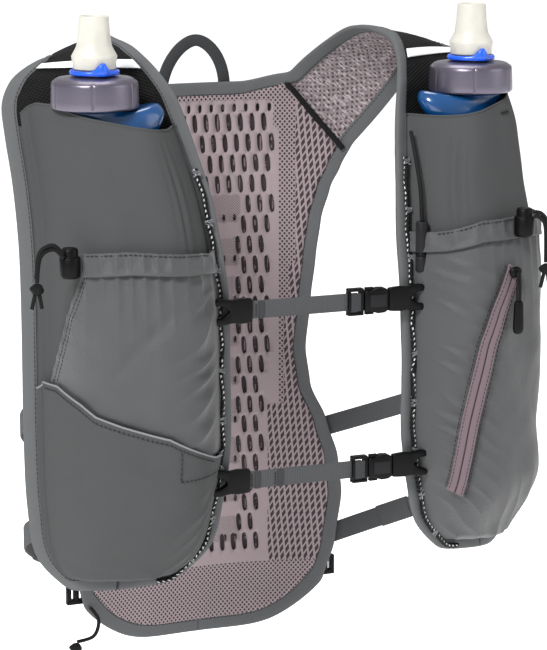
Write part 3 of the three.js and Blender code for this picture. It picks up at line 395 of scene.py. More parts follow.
CLOTH_DARK, MESH_DARK, TAPE_DARK = 0.42, 0.56, 0.6


def scaled(colour, k):
    return tuple(min(1.0, c * k) for c in colour)


def woven(name, hex_colour, rough, pitch, turn=0.0, contrast=0.18, bump=0.35, sheen=0.1):
    look = Look(name, scaled(linear(hex_colour), CLOTH_DARK), rough)
    look.set("Specular IOR Level", 0.25)
    x, y = look.xy(turn)
    weave = look.times(look.wave(x, pitch), look.wave(y, pitch))
    share = look.to_share(weave)
    cloud = look.noise(0.06, 3)
    base = look.mix(share, look.tinted(1 - contrast), look.tinted(1 + contrast))
    look.paint(look.mix(look.times(cloud, 0.25), base, look.tinted(0.8)))
    look.bump(share, bump, 0.0003)
    look.set("Sheen Weight", sheen)
    return look.mat


def ripstop():
    look = Look("ripstop_grey", scaled(linear("6d6e70"), 0.375), 0.58)
    x, y = look.xy()
    lines = look.maths("MINIMUM", look.band(x, 1.7), look.band(y, 1.7))
    line = look.maths("LESS_THAN", lines, 0.16)
    cloud = look.noise(0.05, 4)
    base = look.mix(line, look.colour, look.tinted(1.05))
    look.paint(look.mix(look.times(cloud, 0.3), base, look.tinted(0.78)))
    look.bump(line, 0.12, 0.0002)
    look.bump(look.noise(0.35, 4), 0.35, 0.0008)
    look.set("Sheen Weight", 0.12)
    look.set("Specular IOR Level", 0.3)
    return look.mat


def stretch():
    look = Look("stretch_grey", scaled(linear("666768"), 0.43), 0.85)
    look.set("Specular IOR Level", 0.2)
    x, y = look.xy(math.radians(45))
    dots = look.times(look.wave(x, 1.25), look.wave(y, 1.25))
    share = look.to_share(dots)
    soft = look.noise(0.04, 3, (1.0, 0.4))
    base = look.mix(share, look.tinted(0.8), look.tinted(1.16))
    look.paint(look.mix(look.times(soft, 0.3), base, look.tinted(0.82)))
    look.bump(share, 0.3, 0.0003)
    return look.mat


def webbing(name, hex_colour, pitch=1.5):
    look = Look(name, scaled(linear(hex_colour), 0.36), 0.8)
    look.set("Specular IOR Level", 0.25)
    x, y = look.xy()
    rib = look.to_share(look.wave(y, pitch))
    cross = look.to_share(look.wave(x, 1.1))
    both = look.maths("MULTIPLY_ADD", rib, 0.6, look.times(cross, 0.4))
    look.paint(look.mix(both, look.tinted(0.82), look.tinted(1.15)))
    look.bump(both, 0.4, 0.0003)
    return look.mat


def binding_tape():
    look = Look("binding_grey", scaled(linear("6f7173"), TAPE_DARK), 0.85)
    look.set("Specular IOR Level", 0.25)
    x, y = look.xy()
    knit = look.times(look.wave(x, 0.9), look.wave(y, 1.3))
    share = look.to_share(knit)
    cloud = look.noise(0.12, 3)
    base = look.mix(share, look.tinted(0.9), look.tinted(1.1))
    look.paint(look.mix(look.times(cloud, 0.35), base, look.tinted(0.78)))
    look.bump(share, 0.25, 0.0002)
    look.bump(look.noise(0.2, 3), 0.3, 0.0007)
    return look.mat


def mauve_mesh():
    """Spacer mesh: the colour attribute says how open each of its three net patterns is at a place."""
    look = Look("mauve_mesh", scaled(linear("bdacb0"), MESH_DARK), 0.8)
    look.set("Specular IOR Level", 0.3)
    zones = look.node("ShaderNodeVertexColor", layer_name="zones")
    split = look.node("ShaderNodeSeparateColor")
    look.put(split.inputs[0], zones.outputs[0])
    x, y = look.xy()
    x = look.maths("ABSOLUTE", x)

    def net(px, py, lean, limit):
        tilted = look.maths("MULTIPLY_ADD", y, lean, x)
        a = look.times(tilted, 1 / px)
        b = look.times(y, 1 / py)
        d1 = look.band(look.maths("ADD", a, b), 1)
        d2 = look.band(look.maths("SUBTRACT", a, b), 1)
        return look.maths("GREATER_THAN", look.maths("MINIMUM", d1, d2), limit)

    small, long, fine = (
        look.times(net(*pattern), look.maths("GREATER_THAN", zone, 0.5))
        for pattern, zone in zip(((2.9, 3.4, 0.0, 0.4), (3.7, 9.5, -0.3, 0.34), (1.7, 1.7, 0.0, 0.4)), split.outputs))
    hole = look.maths("MAXIMUM", look.maths("MAXIMUM", small, long), look.times(fine, 0.6))
    knit = look.to_share(look.wave(x, 0.8))
    cloth = look.mix(look.times(knit, 0.3), look.colour, look.tinted(0.86))
    look.paint(look.mix(hole, cloth, scaled(linear("54454a"), 0.45)))
    look.bump(look.maths("SUBTRACT", 1.0, hole), 0.9, 0.0006)
    return look.mat


def mauve_net():
    look = Look("mauve_net", scaled(linear("b3a3a7"), 0.45), 0.42)
    x, y = look.xy()
    a = look.times(x, 1 / 4.0)
    b = look.times(y, 1 / 4.6)
    d = look.maths("MINIMUM", look.band(look.maths("ADD", a, b), 1), look.band(look.maths("SUBTRACT", a, b), 1))
    hole = look.maths("GREATER_THAN", d, 0.5)
    soft = look.noise(0.16, 3, (0.5, 1.6))
    base = look.mix(hole, look.colour, scaled(linear("54454a"), 0.5))
    # Painted highlights: bright flecks where the stretched noise runs high stand in for light glinting off the crinkled
    # net
    glint = look.maths("GREATER_THAN", look.noise(0.55, 2, (0.35, 1.3)), 0.57)
    look.paint(look.mix(look.times(glint, 0.5), base, scaled(linear("dcd2d5"), 0.75)))
    look.bump(look.maths("SUBTRACT", 1.0, hole), 0.6, 0.0005)
    look.bump(soft, 0.9, 0.003)
    return look.mat


def backing():
    look = Look("mauve_backing", scaled(linear("54464b"), 0.4), 0.85)
    x, y = look.xy()
    stripe = look.maths("LESS_THAN", look.band(x, 3.5), 0.3)
    patch = look.noise(0.22, 2)
    share = look.times(stripe, look.maths("GREATER_THAN", patch, 0.5))
    look.paint(look.mix(share, look.colour, scaled(linear("9a888d"), 0.55)))
    return look.mat


def black_net():
    look = Look("black_net", linear("232325"), 0.8)
    x, y = look.xy(math.radians(20))
    cell = look.times(look.wave(x, 3.0), look.wave(y, 2.2))
    share = look.to_share(cell)
    look.paint(look.mix(share, (0.0006, 0.0006, 0.0006), (0.005, 0.005, 0.005)))
    look.set("Specular IOR Level", 0.2)
    look.bump(share, 0.9, 0.0008)
    return look.mat


def plastic(name, hex_colour, rough, grain=2.5, coat=0.0):
    look = Look(name, linear(hex_colour), rough)
    wear = look.node("ShaderNodeTexNoise")
    wear.inputs["Scale"].default_value = 900
    place = look.node("ShaderNodeTexCoord")
    look.put(wear.inputs["Vector"], place.outputs["Object"])
    look.paint(look.mix(look.times(wear.outputs[0], 0.4), look.colour, look.tinted(1.3)))
    look.bump(wear.outputs[0], 0.15 * grain / 2.5, 0.0002)
    look.set("Coat Weight", coat)
    look.set("Specular IOR Level", 0.5 if coat else 0.14)
    return look.mat


def braid(name, hex_colour, fleck=None):
    look = Look(name, linear(hex_colour), 0.7)
    x, y = look.xy()
    strand = look.to_share(look.wave(look.maths("ADD", x, y), 1.6))
    base = look.mix(strand, look.tinted(0.5), look.tinted(1.7))
    if fleck:
        along = look.maths("FRACT", look.times(look.maths("MULTIPLY_ADD", x, 0.5, y), 1 / 3.0))
        on = look.maths("LESS_THAN", along, 0.45)
        side = look.maths("LESS_THAN", look.maths("FRACT", look.times(x, 1 / 4.4)), 0.18)
        base = look.mix(look.times(on, side), base, linear(fleck))
    look.paint(base)
    look.set("Specular IOR Level", 0.2)
    look.bump(strand, 0.6, 0.0004)
    return look.mat


def silicone():
    look = Look("valve_silicone", linear("f1efe8"), 0.35)
    cloud = look.node("ShaderNodeTexNoise")
    cloud.inputs["Scale"].default_value = 120
    place = look.node("ShaderNodeTexCoord")
    look.put(cloud.inputs["Vector"], place.outputs["Object"])
    look.paint(look.mix(cloud.outputs[0], scaled(linear("f0ede4"), 0.86), scaled(linear("e2dfd4"), 0.78)))
    look.bump(cloud.outputs[0], 0.1, 0.0002)
    look.set("Subsurface Weight", 0.5)
    look.set("Subsurface Radius", (0.01, 0.01, 0.009))
    look.set("Transmission Weight", 0.25)
    return look.mat


def flask_film():
    look = Look("flask_blue", linear("0b4f9c"), 0.2)
    cloud = look.noise(0.03, 2)
    look.paint(look.mix(cloud, scaled(linear("0b4794"), 0.4), scaled(linear("1a78c2"), 0.42)))
    look.bump(look.noise(0.05, 2), 0.4, 0.001)
    look.set("Coat Weight", 0.5)
    look.set("Coat Roughness", 0.12)
    return look.mat


def silver():
    look = Look("reflective_silver", linear("e6e9ea"), 0.4, 0.1)
    grain = look.noise(2.5, 2)
    look.paint(look.mix(look.times(grain, 0.3), look.colour, linear("c9cdce")))
    look.bump(grain, 0.1, 0.0001)
    # Painted glow: a weak white emission stands in for the light that the reflective strip sends back, so it shows
    # brighter than its lamps alone make it
    look.set("Emission Color", (1, 1, 1, 1))
    look.set("Emission Strength", 0.15)
    return look.mat


def metal_cap():
    look = Look("cap_grey", linear("67626f"), 0.32, 0.75)
    grain = look.noise(0.7, 3, (1.0, 12.0))
    look.paint(look.mix(look.times(grain, 0.4), look.colour, linear("7a7582")))
    look.bump(grain, 0.12, 0.0002)
    return look.mat


# Each look with the slot that it usually fills
MATS = {
    "ripstop": (ripstop(), "grey_fabric"),
    "stretch": (stretch(), "stretch_mesh"),
    "binding": (binding_tape(), "grey_binding"),
    "mesh": (mauve_mesh(), "mauve_mesh"),
    "net": (mauve_net(), "mauve_mesh"),
    "backing": (backing(), "mauve_mesh"),
    "black_net": (black_net(), "black_mesh"),
    "web": (webbing("webbing_grey", "6e7073"), "webbing_grey"),
    "web_dark": (webbing("webbing_dark", "55575a"), "webbing_grey"),
    "shell": (woven("shell_grey", "66686a", 0.8, 1.2), "grey_fabric"),
    "plastic": (plastic("black_plastic", "050506", 0.42), "black_plastic"),
    "plastic_soft": (plastic("grey_plastic", "1b1b1d", 0.45), "black_plastic"),
    "cord": (braid("black_cord", "0b0b0c"), "black_cord"),
    "fleck": (braid("black_cord_flecked", "0c0c0d", "c4c4c2"), "black_cord"),
    "silver": (silver(), "reflective_silver"),
    "flask": (flask_film(), "flask_blue"),
    "cap": (metal_cap(), "cap_grey"),
    "valve": (silicone(), "valve_silicone"),
    "lock": (plastic("lock_blue", "0552d8", 0.3, 1.0, 0.4), "lock_blue"),
    "zip": (woven("zip_mauve", "9a858d", 0.8, 1.1, math.radians(45), 0.12), "zip_mauve"),
    "coil": (plastic("zip_coil", "2e2528", 0.6), "zip_mauve"),
    "thread": (plastic("thread_light", "75787a", 0.85), "grey_binding"),
    "thread_dark": (plastic("thread_dark", "252627", 0.85), "grey_binding"),
}


# Mesh helpers
def entered(name, data, mat, body="vest", replaces=(), slot=None):
    """Puts a mesh or curve in the scene with its look, body and the nodes it replaces."""
    look, usual_slot = MATS[mat]
    data.materials.append(look)
    obj = bpy.data.objects.new(name, data)
    bpy.context.scene.collection.objects.link(obj)
    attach(obj, body)
    if replaces:
        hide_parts(*replaces)
    return obj


def piece(name, verts, faces, mat, uv=None, zones=None, flat=False, **kw):
    mesh = bpy.data.meshes.new(name)
    mesh.from_pydata((np.asarray(verts) * MM).tolist(), [], faces)
    corner = np.empty(len(mesh.loops), dtype=np.int32)
    mesh.loops.foreach_get("vertex_index", corner)
    if uv is None:
        uv = np.asarray(verts)[:, [0, 2]]
    layer = mesh.uv_layers.new(name="UVMap")
    layer.data.foreach_set("uv", np.asarray(uv, np.float32)[corner].ravel())
    if zones is not None:
        paint = mesh.color_attributes.new("zones", "FLOAT_COLOR", "POINT")
        paint.data.foreach_set("color", np.asarray(zones, np.float32).ravel())
    mesh.polygons.foreach_set("use_smooth", [not flat] * len(mesh.polygons))
    return entered(name, mesh, mat, **kw)


def thicken(obj, thick, offset=0.0):
    mod = obj.modifiers.new("thickness", "SOLIDIFY")
    mod.thickness = thick * MM
    mod.offset = offset
    mod.use_even_offset = False
    return obj


def soften(obj, width, segments):
    mod = obj.modifiers.new("edges", "BEVEL")
    mod.width = width * MM
    mod.segments = segments
    mod.limit_method = "ANGLE"
    mod.angle_limit = math.radians(35)
    mod.use_clamp_overlap = True
    return obj


def arc_lengths(points):
    return np.concatenate([[0], np.cumsum(np.linalg.norm(np.diff(points, axis=0), axis=1))])


def lengths_across(points):
    steps = np.linalg.norm(np.diff(points, axis=1), axis=2)
    return np.concatenate([np.zeros((len(points), 1)), np.cumsum(steps, axis=1)], 1)


def pair_up(across, along):
    return np.stack([across, np.broadcast_to(along[:, None], across.shape)], -1).reshape(-1, 2)


def grid(name, points, mat, sign=1, **kw):
    """Cloth through a grid of points, rows along the second way; its UV is its own length and width."""
    rows, cols = points.shape[:2]
    across = lengths_across(points)
    uv = pair_up(across - across[:, cols // 2:cols // 2 + 1], arc_lengths(points[:, cols // 2]))
    verts = sided(points.reshape(-1, 3), sign)
    i, j = np.meshgrid(np.arange(cols - 1), np.arange(rows - 1))
    a = (j * cols + i).ravel()
    quads = np.stack([a, a + 1, a + cols + 1, a + cols], 1)
    if sign < 0:
        quads = quads[:, ::-1]
    return piece(name, verts, quads.tolist(), mat, uv, **kw)


def loft(name, rings, mat, sign=1, caps=True, **kw):
    """Skin over closed rings; UV is the way round and the way along."""
    n, k = rings.shape[:2]
    uv = pair_up(lengths_across(rings), arc_lengths(rings.mean(axis=1)))
    verts = sided(rings.reshape(-1, 3), sign)
    faces = []
    for j in range(n - 1):
        for i in range(k):
            a, b = j * k + i, j * k + (i + 1) % k
            faces.append([a, b, b + k, a + k])
    if caps:
        faces.append(list(range(k))[::-1])
        faces.append(list(range((n - 1) * k, n * k)))
    volume = 0.0
    for f in faces:
        p = verts[f]
        for m in range(1, len(f) - 1):
            volume += np.dot(p[0], np.cross(p[m], p[m + 1]))
    if volume < 0:
        faces = [f[::-1] for f in faces]
    return piece(name, verts, faces, mat, uv, **kw)


def frames(points, hint=(0, 0, 1)):
    """Tangent, side and up directions along a line."""
    tangent = unit(np.gradient(points, axis=0))
    side = np.cross(tangent, np.asarray(hint, float))
    side = unit(side + 1e-6)
    return tangent, side, unit(np.cross(side, tangent))


def rounded_path(points, count):
    """Smooth line through a few points, evenly spaced."""
    points = np.asarray(points, float)
    line = spline_at(points, np.linspace(0, len(points) - 1, count * 4))
    d = arc_lengths(line)
    return resample(line, d, np.linspace(0, d[-1], count))


def tube(name, points, radius, mat, sides=12, hint=(0.1, 0, 1), **kw):
    """Round strand along a line."""
    radius = np.broadcast_to(radius, len(points))
    _, side, up = frames(points, hint)
    a = np.linspace(0, 2 * math.pi, sides, endpoint=False)
    rings = points[:, None] + radius[:, None, None] * (
        side[:, None] * np.cos(a)[None, :, None] + up[:, None] * np.sin(a)[None, :, None])
    return loft(name, rings, mat, **kw)


def turned(name, profile, centre, mat, around=48, ripple=None, **kw):
    """Turned shape from radius and height pairs."""
    rows = np.asarray(profile, float)
    a = np.linspace(0, 2 * math.pi, around, endpoint=False)
    rings = np.empty((len(rows), around, 3))
    for j, (r, h) in enumerate(rows):
        radius = np.full(around, r) if ripple is None else r - ripple(a, h)
        rings[j] = np.stack([centre[0] + radius * np.cos(a), centre[1] + radius * np.sin(a),
                             np.full(around, centre[2] + h)], 1)
    return loft(name, rings, mat, **kw)


def joined(name, parts, mat, **kw):
    """Many small closed parts, each (verts, faces), as one mesh."""
    verts, faces, at = [], [], 0
    for v, f in parts:
        verts.append(v)
        faces.extend([[i + at for i in face] for face in f])
        at += len(v)
    return piece(name, np.concatenate(verts), faces, mat, **kw)


BOX_FACES = [[0, 1, 2, 3], [7, 6, 5, 4], [0, 4, 5, 1], [1, 5, 6, 2], [2, 6, 7, 3], [3, 7, 4, 0]]


def bar(a, b, side, up, width, height):
    """Small box from a to b."""
    s, u = side * width / 2, up * height / 2
    return np.array([a - s - u, a + s - u, a + s + u, a - s + u, b - s - u, b + s - u, b + s + u, b - s + u]), [
        f[::-1] for f in BOX_FACES]


def stitches(name, path, normals, mat="thread", length=1.7, period=2.7, width=0.5, height=0.3, sign=1, **kw):
    d = arc_lengths(path)
    starts = np.arange(period / 2, d[-1] - length, period)
    a, b, n = resample(path, d, starts), resample(path, d, starts + length), unit(resample(normals, d, starts))
    side = unit(np.cross(n, unit(b - a)))
    parts = []
    for p, q, s, u in zip(a, b, side, n):
        verts, faces = bar(p, q, s, u, width, height)
        parts.append((sided(verts, sign), faces if sign > 0 else [f[::-1] for f in faces]))
    return joined(name, parts, mat, flat=True, **kw)


def outline_solid(name, outline, y0, y1, mat, bevel=0.5, sign=1, **kw):
    """Outline in x and z, raised in y, with rounded edges."""
    n = len(outline)
    pts = np.asarray(outline, float)
    verts = np.concatenate([np.stack([pts[:, 0], np.full(n, y), pts[:, 1]], 1) for y in (y0, y1)])
    verts = sided(verts, sign)
    faces = [list(range(n)), list(range(2 * n - 1, n - 1, -1))]
    faces += [[i + n, (i + 1) % n + n, (i + 1) % n, i] for i in range(n)]
    area = sum(pts[i, 0] * pts[(i + 1) % n, 1] - pts[(i + 1) % n, 0] * pts[i, 1] for i in range(n))
    if (area < 0) != (sign < 0):
        faces = [f[::-1] for f in faces]
    return soften(piece(name, verts, faces, mat, **kw), bevel, 3)


def cord_curve(name, points, replaces):
    data = bpy.data.curves.new(name, "CURVE")
    data.dimensions = "3D"
    data.bevel_depth = CORD_RADIUS * MM
    data.bevel_resolution = 3
    data.use_fill_caps = True
    spline = data.splines.new("POLY")
    spline.points.add(len(points) - 1)
    for p, at in zip(spline.points, points):
        p.co = (*(np.asarray(at) * MM), 1)
    return entered(name, data, "cord", replaces=replaces)


def ellipsoid(name, centre, radii, mat, lumps=0.0, seed=1, **kw):
    rings = []
    for j in range(1, 12):
        a = math.pi * j / 12
        t = np.linspace(0, 2 * math.pi, 20, endpoint=False)
        wob = 1 + lumps * np.sin(3 * t + j * 0.9 + seed) * math.sin(a)
        rings.append(np.stack([radii[0] * np.sin(a) * np.cos(t) * wob, radii[1] * np.sin(a) * np.sin(t) * wob,
                               np.full(20, radii[2] * math.cos(a))], 1))
    return loft(name, np.array(rings) + np.asarray(centre), mat, **kw)


SIDES = (("left", 1), ("right", -1))

# Cords with a free end
CORD_RADIUS, TAIL_RADIUS = 1.2, 1.1
LOCK_SPOTS = {"left": (0.41, 0.0, 7.4), "right": (0.79, 10.0, 8.6)}
LOCK_OUT = unit(LEVEL_OUT + np.array([0.55, 0, 0]))
DRAW_ROUTES = {"left": np.array([[0, 0, 0], [2.4, -3.2, -1.0], [4.2, -5.6, -6.5], [4.4, -6.4, -26]], float),
               "right": np.array([[0, 0, 0], [6, -1, 5], [13, 0, 1], [14.5, 2, -13]], float)}
lock_centres = {}
for side_name, sign in SIDES:
    across, drop, stand = LOCK_SPOTS[side_name]
    centre = layer_at(across, HEM_Z + 3, 3, 2) + LOCK_OUT * stand + np.array([0, 0, 2 - drop])
    lock_centres[side_name] = centre
    start = centre + np.array([4.6, -3.5, 4])
    route = DRAW_ROUTES[side_name]
    line = sided(rounded_path(start + route, 40), sign)
    cord = cord_curve(f"drawcord_{side_name}_line", line, [f"drawcord_{side_name}"])
    knot_at = sided(start + route[3] + np.array([0, 0, -3.8]), sign)
    knot = ellipsoid(f"drawcord_{side_name}_knot", knot_at, (3.7, 2.9, 3.3), "cord", 0.16,
                     replaces=[f"drawcord_knot_{side_name}"])
    for k in (-1, 1):
        top = knot_at + np.array([k * 1.2, 0, -2.6])
        path = rounded_path([top, top + np.array([k * 0.8, 0.4, -4]), top + np.array([k * 1.6, 0.8, -8])], 10)
        tube(f"drawcord_{side_name}_tail_{'a' if k < 0 else 'b'}", path, TAIL_RADIUS, "cord",
                          hint=(0, 1, 0))
    tube(f"drawcord_{side_name}_twin", line + np.array([sign * 0.6, -0.5, 2.3]), TAIL_RADIUS,
                      "cord", hint=(0, 1, 0))


def edge_cord_point(v):
    v = np.asarray(v, float)
    return front(4.6 / front_width(v), v) + outward(np.maximum(0.03, v)) * 3.6


def beside_cord(z, dx, dy):
    p = edge_cord_point(v_at(z))
    return np.array([p[0] + dx, p[1] + dy, z])


WHISTLE_TOP_Z = -94.0
whistle_line = rounded_path([beside_cord(WHISTLE_TOP_Z + 48, 1.5, -4.5), beside_cord(WHISTLE_TOP_Z + 32, 3, -8),
                             beside_cord(WHISTLE_TOP_Z + 16, 4, -10), beside_cord(WHISTLE_TOP_Z, 4, -10.7)], 50)
whistle_cord = cord_curve("whistle_cord_line", whistle_line, ["whistle_cord"])
whistle_at = whistle_line[-1]
whistle = turned("whistle_tube", [(0.6, -0.4), (3.2, -0.4), (3.5, -0.9), (3.5, -17.6), (3.2, -18.0), (3.2, -20.2),
                                  (3.5, -20.6), (3.5, -28.4), (3.1, -29.0), (0.6, -29.0)],
                 whistle_at, "plastic_soft", 32, replaces=["whistle"])
slot_mark = turned("whistle_slot", [(0.5, -20.0), (3.42, -20.0), (3.42, -18.2), (0.5, -18.2)], whistle_at,
                   "plastic", 24)

hem_hang = back_inset(-0.97, 0.985, 0.0)
rear_start = hem_hang - back_normal(hem_hang) * (BINDING_THICK / 2 + 1.0)
rear_line = rounded_path(rear_start + np.array([[0, 0, 0], [4, -4, -8], [0, -6, -17], [-11, -6, -19.5]], float), 40)
rear_end = rear_line[-1]
rear_cord = cord_curve("rear_cord_line", rear_line, ["rear_cord"])
rear_knot = ellipsoid("rear_cord_knot", rear_end + np.array([-1, 0, -3.8]), (3.9, 2.9, 3.3), "cord", 0.16,
                      replaces=["rear_knot"])
rear_path = rounded_path(rear_end + np.array([[-2, 0, -5.5], [-5, 0.5, -8.5], [-7, 1, -9.5]]), 10)
rear_tail = tube("rear_cord_tail", rear_path, TAIL_RADIUS, "cord", hint=(0, 1, 0))

# Back: outer layer, then the slotted mesh against the wearer
def back_sheet(nu, nv, lift):
    u, v = np.meshgrid(np.linspace(-1, 1, nu + 1), np.linspace(0, 1, nv + 1))
    seat = back_inset(u, v, CLOTH_INSET)
    return seat + back_normal(seat) * np.asarray(lift)[..., None]


outer_sheet = back_sheet(70, 150, 1.1)
outer_wave = 0.5 * noise(outer_sheet[..., 0] / 22, outer_sheet[..., 2] / 30, 5)
outer_sheet = outer_sheet + back_normal(outer_sheet) * np.maximum(-0.1, outer_wave)[..., None]
thicken(grid("back_outer", outer_sheet, "shell", replaces=["back_shell"]), 0.6)
grid("back_backing", back_sheet(40, 80, 0.1), "backing")

SLOT_HALF_W, SLOT_HALF_H, COLUMN_PITCH, ROW_PITCH = 1.7, 6.1, 7.5, 13.0
SPLAY = 0.095
FIRST_ROW_Z, SEAM_Z = -57.7, -345.0
FINE_TOP_Z, FINE_PITCH = -104, 26.2


def slot_list():
    """Centre and half sizes of every slot."""
    found = []
    for row in range(22):
        z = FIRST_ROW_Z - row * ROW_PITCH
        if z < SEAM_Z + 5:
            break
        for col in range(-9, 10):
            x = (col + (0.5 if row % 2 else 0.0)) * COLUMN_PITCH
            x += math.copysign(SPLAY * min(60.0, FIRST_ROW_Z - z), x) if x else 0.0
            limit = 50 if z > -170 else 50 - 0.06 * (-170 - z)
            if abs(x) > limit or abs(x) > float(back_half(z)) - 22:
                continue
            if abs(x) < 28 and -330 < z < FINE_TOP_Z:
                continue
            found.append((x, z, SLOT_HALF_W, SLOT_HALF_H))
    for col in range(-7, 7):
        found.append((col * COLUMN_PITCH + 3.5, FIRST_ROW_Z + 9.2, 1.2, 2.6))
    for row in range(9):
        z = -118 - row * FINE_PITCH
        for x in (-26, -19, 19, 26):
            found.append((x, z, 1.0, 2.2))
    return found


def mesh_zones(x, z):
    """Which net pattern lies where: small holes, long lozenges or fine dots."""
    ax = np.abs(x)
    top = (z > FIRST_ROW_Z + 13) | ((z > -60) & (ax > 52) & (ax < 64))
    bottom = z < SEAM_Z
    band = (ax > 53) & (ax < 64) & (z < -44) & (z > -240)
    side = (ax >= 64) | ((ax > 46) & (z <= -240)) | ((ax > 52) & (z <= -150) & (ax > 53 + (z + 150) * 0.05 + 8))
    side &= (z < -44) & (z > SEAM_Z)
    small = top | bottom | (band & ~side)
    fine = (ax < 29) & (z < FINE_TOP_Z) & (z > -330) & (np.mod(FINE_TOP_Z - z, FINE_PITCH) < 17)
    out = np.zeros((len(x), 4))
    out[:, 0], out[:, 1], out[:, 2], out[:, 3] = small, side, fine, 1
    return out


def back_mesh():
    """Flat mesh with its slots cut out, laid on the curve of the back."""
    slots = slot_list()
    wide, tall = np.linspace(-1, 1, 90)[:-1], np.linspace(0, 1, 180)[:-1]
    edge_u = np.concatenate([wide, np.ones(179), -wide, -np.ones(179)])
    edge_v = np.concatenate([np.zeros(89), tall, np.ones(89), 1 - tall])
    border = back_inset(edge_u, edge_v, CLOTH_INSET)[:, [0, 2]]
    points = [Vector(p) for p in border]
    edges = [(i, (i + 1) % len(border)) for i in range(len(border))]
    for x, z, hw, hh in slots:
        first, count = len(points), 14
        for i in range(count):
            a = 2 * math.pi * i / count
            c, s = math.cos(a), math.sin(a)
            lean = math.copysign(SPLAY, x) * hh * s if hh > 4 else 0.0
            points.append(Vector((x + hw * math.copysign(abs(c) ** 0.8, c) - lean,
                                  z + hh * math.copysign(abs(s) ** 0.8, s))))
        edges += [(first + i, first + (i + 1) % count) for i in range(count)]
    step = 3.5
    centres, sizes = np.hsplit(np.array(slots), 2)
    for z in np.arange(-385, -28, step):
        reach = float(back_half(z)) - CLOTH_INSET - 1.5
        for x in np.arange(-98, 98.1, step):
            if abs(x) > reach:
                continue
            share = x / max(1, float(back_half(z)))
            if z > float(back_top(share)) - CLOTH_INSET - 1 or z < float(back_bottom(share)) + CLOTH_INSET + 1:
                continue
            near = ((centres[:, 0] - x) / (sizes[:, 0] + 0.7)) ** 2 + ((centres[:, 1] - z) / (sizes[:, 1] + 0.7)) ** 2
            if near.min() < 1:
                continue
            points.append(Vector((x, z)))
    verts, _, tris, *_ = delaunay_2d_cdt(points, edges, [], 0, 1e-5)
    flat = np.array([(v.x, v.y) for v in verts])
    tris = np.array([t for t in tris if len(t) == 3])
    mid = flat[tris].mean(axis=1)
    keep = np.ones(len(tris), bool)
    for (x, z), (hw, hh) in zip(centres, sizes):
        keep &= ((mid[:, 0] - x) / hw) ** 2 + ((mid[:, 1] - z) / hh) ** 2 > 0.93
    inside = np.zeros(len(mid), bool)
    bx, bz = border[:, 0], border[:, 1]
    for k in range(len(border)):
        x0, z0, x1, z1 = bx[k], bz[k], bx[(k + 1) % len(border)], bz[(k + 1) % len(border)]
        cross = (z0 > mid[:, 1]) != (z1 > mid[:, 1])
        where = (x1 - x0) * (mid[:, 1] - z0) / np.where(z1 == z0, 1e-9, z1 - z0) + x0
        inside ^= cross & (mid[:, 0] < where)
    tris = tris[keep & inside]
    x, z = flat[:, 0], flat[:, 1]
    seat = np.stack([x, back_y(x), z], 1)
    wave = 0.5 * noise(x / 16, z / 26, 9)
    lift = -1.9 + wave - 1.0 * np.exp(-((z - SEAM_Z) / 5) ** 2)
    verts3 = seat + back_normal(seat) * np.minimum(-1.2, lift)[:, None]
    obj = piece("back_mesh_slotted", verts3, tris[:, ::-1].tolist(), "mesh", flat, mesh_zones(x, z),
                replaces=["back_mesh"])
    return thicken(obj, 0.9, 1.0)


back_mesh()


# Bindings: soft tape folded over the edge
TAPE_PROFILE = [(0.0, -0.18), (0.0, 0.18), (0.05, 0.36), (0.16, 0.47), (0.4, 0.5), (0.8, 0.47), (0.95, 0.4), (1.0, 0.3),
                (1.0, -0.3), (0.95, -0.4), (0.8, -0.47), (0.4, -0.5), (0.16, -0.47), (0.05, -0.36)]
FLAT_PROFILE, STRAP_PROFILE = (
    [(0, -0.3), (0, 0.3), (a, 0.5), (1 - a, 0.5), (1, 0.3), (1, -0.3), (1 - a, -0.5), (a, -0.5)] for a in (0.1, 0.06))


def front_rows(u, v):
    u, v = np.broadcast_arrays(np.asarray(u, float), np.asarray(v, float))
    share = BINDING_WIDTH / front_width(v)
    inside = front(np.minimum(1 - share, np.maximum(share, u)), np.maximum(v, 0.026))
    return front(u, v), inside, outward(np.maximum(0.026, v))


def back_rows(share, v):
    edge = back_inset(share, v, 0.0)
    return edge, back_inset(share, v, BINDING_WIDTH), back_normal(edge)


def joined_rows(parts):
    return [np.concatenate([p[k] for p in parts]) for k in range(3)]


def dense(rows, step=1.6):
    """Rows at even steps along a tape."""
    edge, inside, normal = rows
    d = arc_lengths((edge + inside) / 2)
    keep = np.concatenate([[True], np.diff(d) > 1e-6])
    d, edge, inside, normal = d[keep], edge[keep], inside[keep], normal[keep]
    even = np.linspace(0, d[-1], max(2, int(d[-1] / step)))
    return resample(edge, d, even), resample(inside, d, even), unit(resample(normal, d, even)), even


def blur(a, times=3):
    """Evens out a row of values."""
    for _ in range(times):
        a = np.concatenate([a[:1], (a[:-2] + 2 * a[1:-1] + a[2:]) / 4, a[-1:]])
    return a


def tape(name, rows, thick, seed, profile=TAPE_PROFILE, ripple=0.18, sign=1, mat="binding", **kw):
    """Tape between an edge line and an inside line, with a rounded section."""
    edge, inside, normal, along = dense(rows)
    edge, inside = blur(edge), blur(inside)
    prof = np.asarray(profile)
    wave = ripple * noise(along / 6, along * 0 + seed, seed)
    ring = edge[:, None] + (inside - edge)[:, None] * prof[None, :, 0, None]
    up = prof[None, :, 1] * (thick + 2 * wave[:, None]) + 0.4 * ripple * noise(along / 17, along * 0 + 3, seed)[:, None]
    ring = ring + normal[:, None] * up[..., None]
    return loft(name, ring, mat, sign=sign, **kw), (edge, inside, normal)


def ribbon(line, across, half_width):
    """Rows of a flat tape along a line, as near to the given way across as the line lets it lie."""
    along = unit(np.gradient(line, axis=0))
    side = unit(across - along * np.sum(across * along, axis=1)[:, None])
    return line - side * half_width, line + side * half_width, unit(np.cross(side, along))


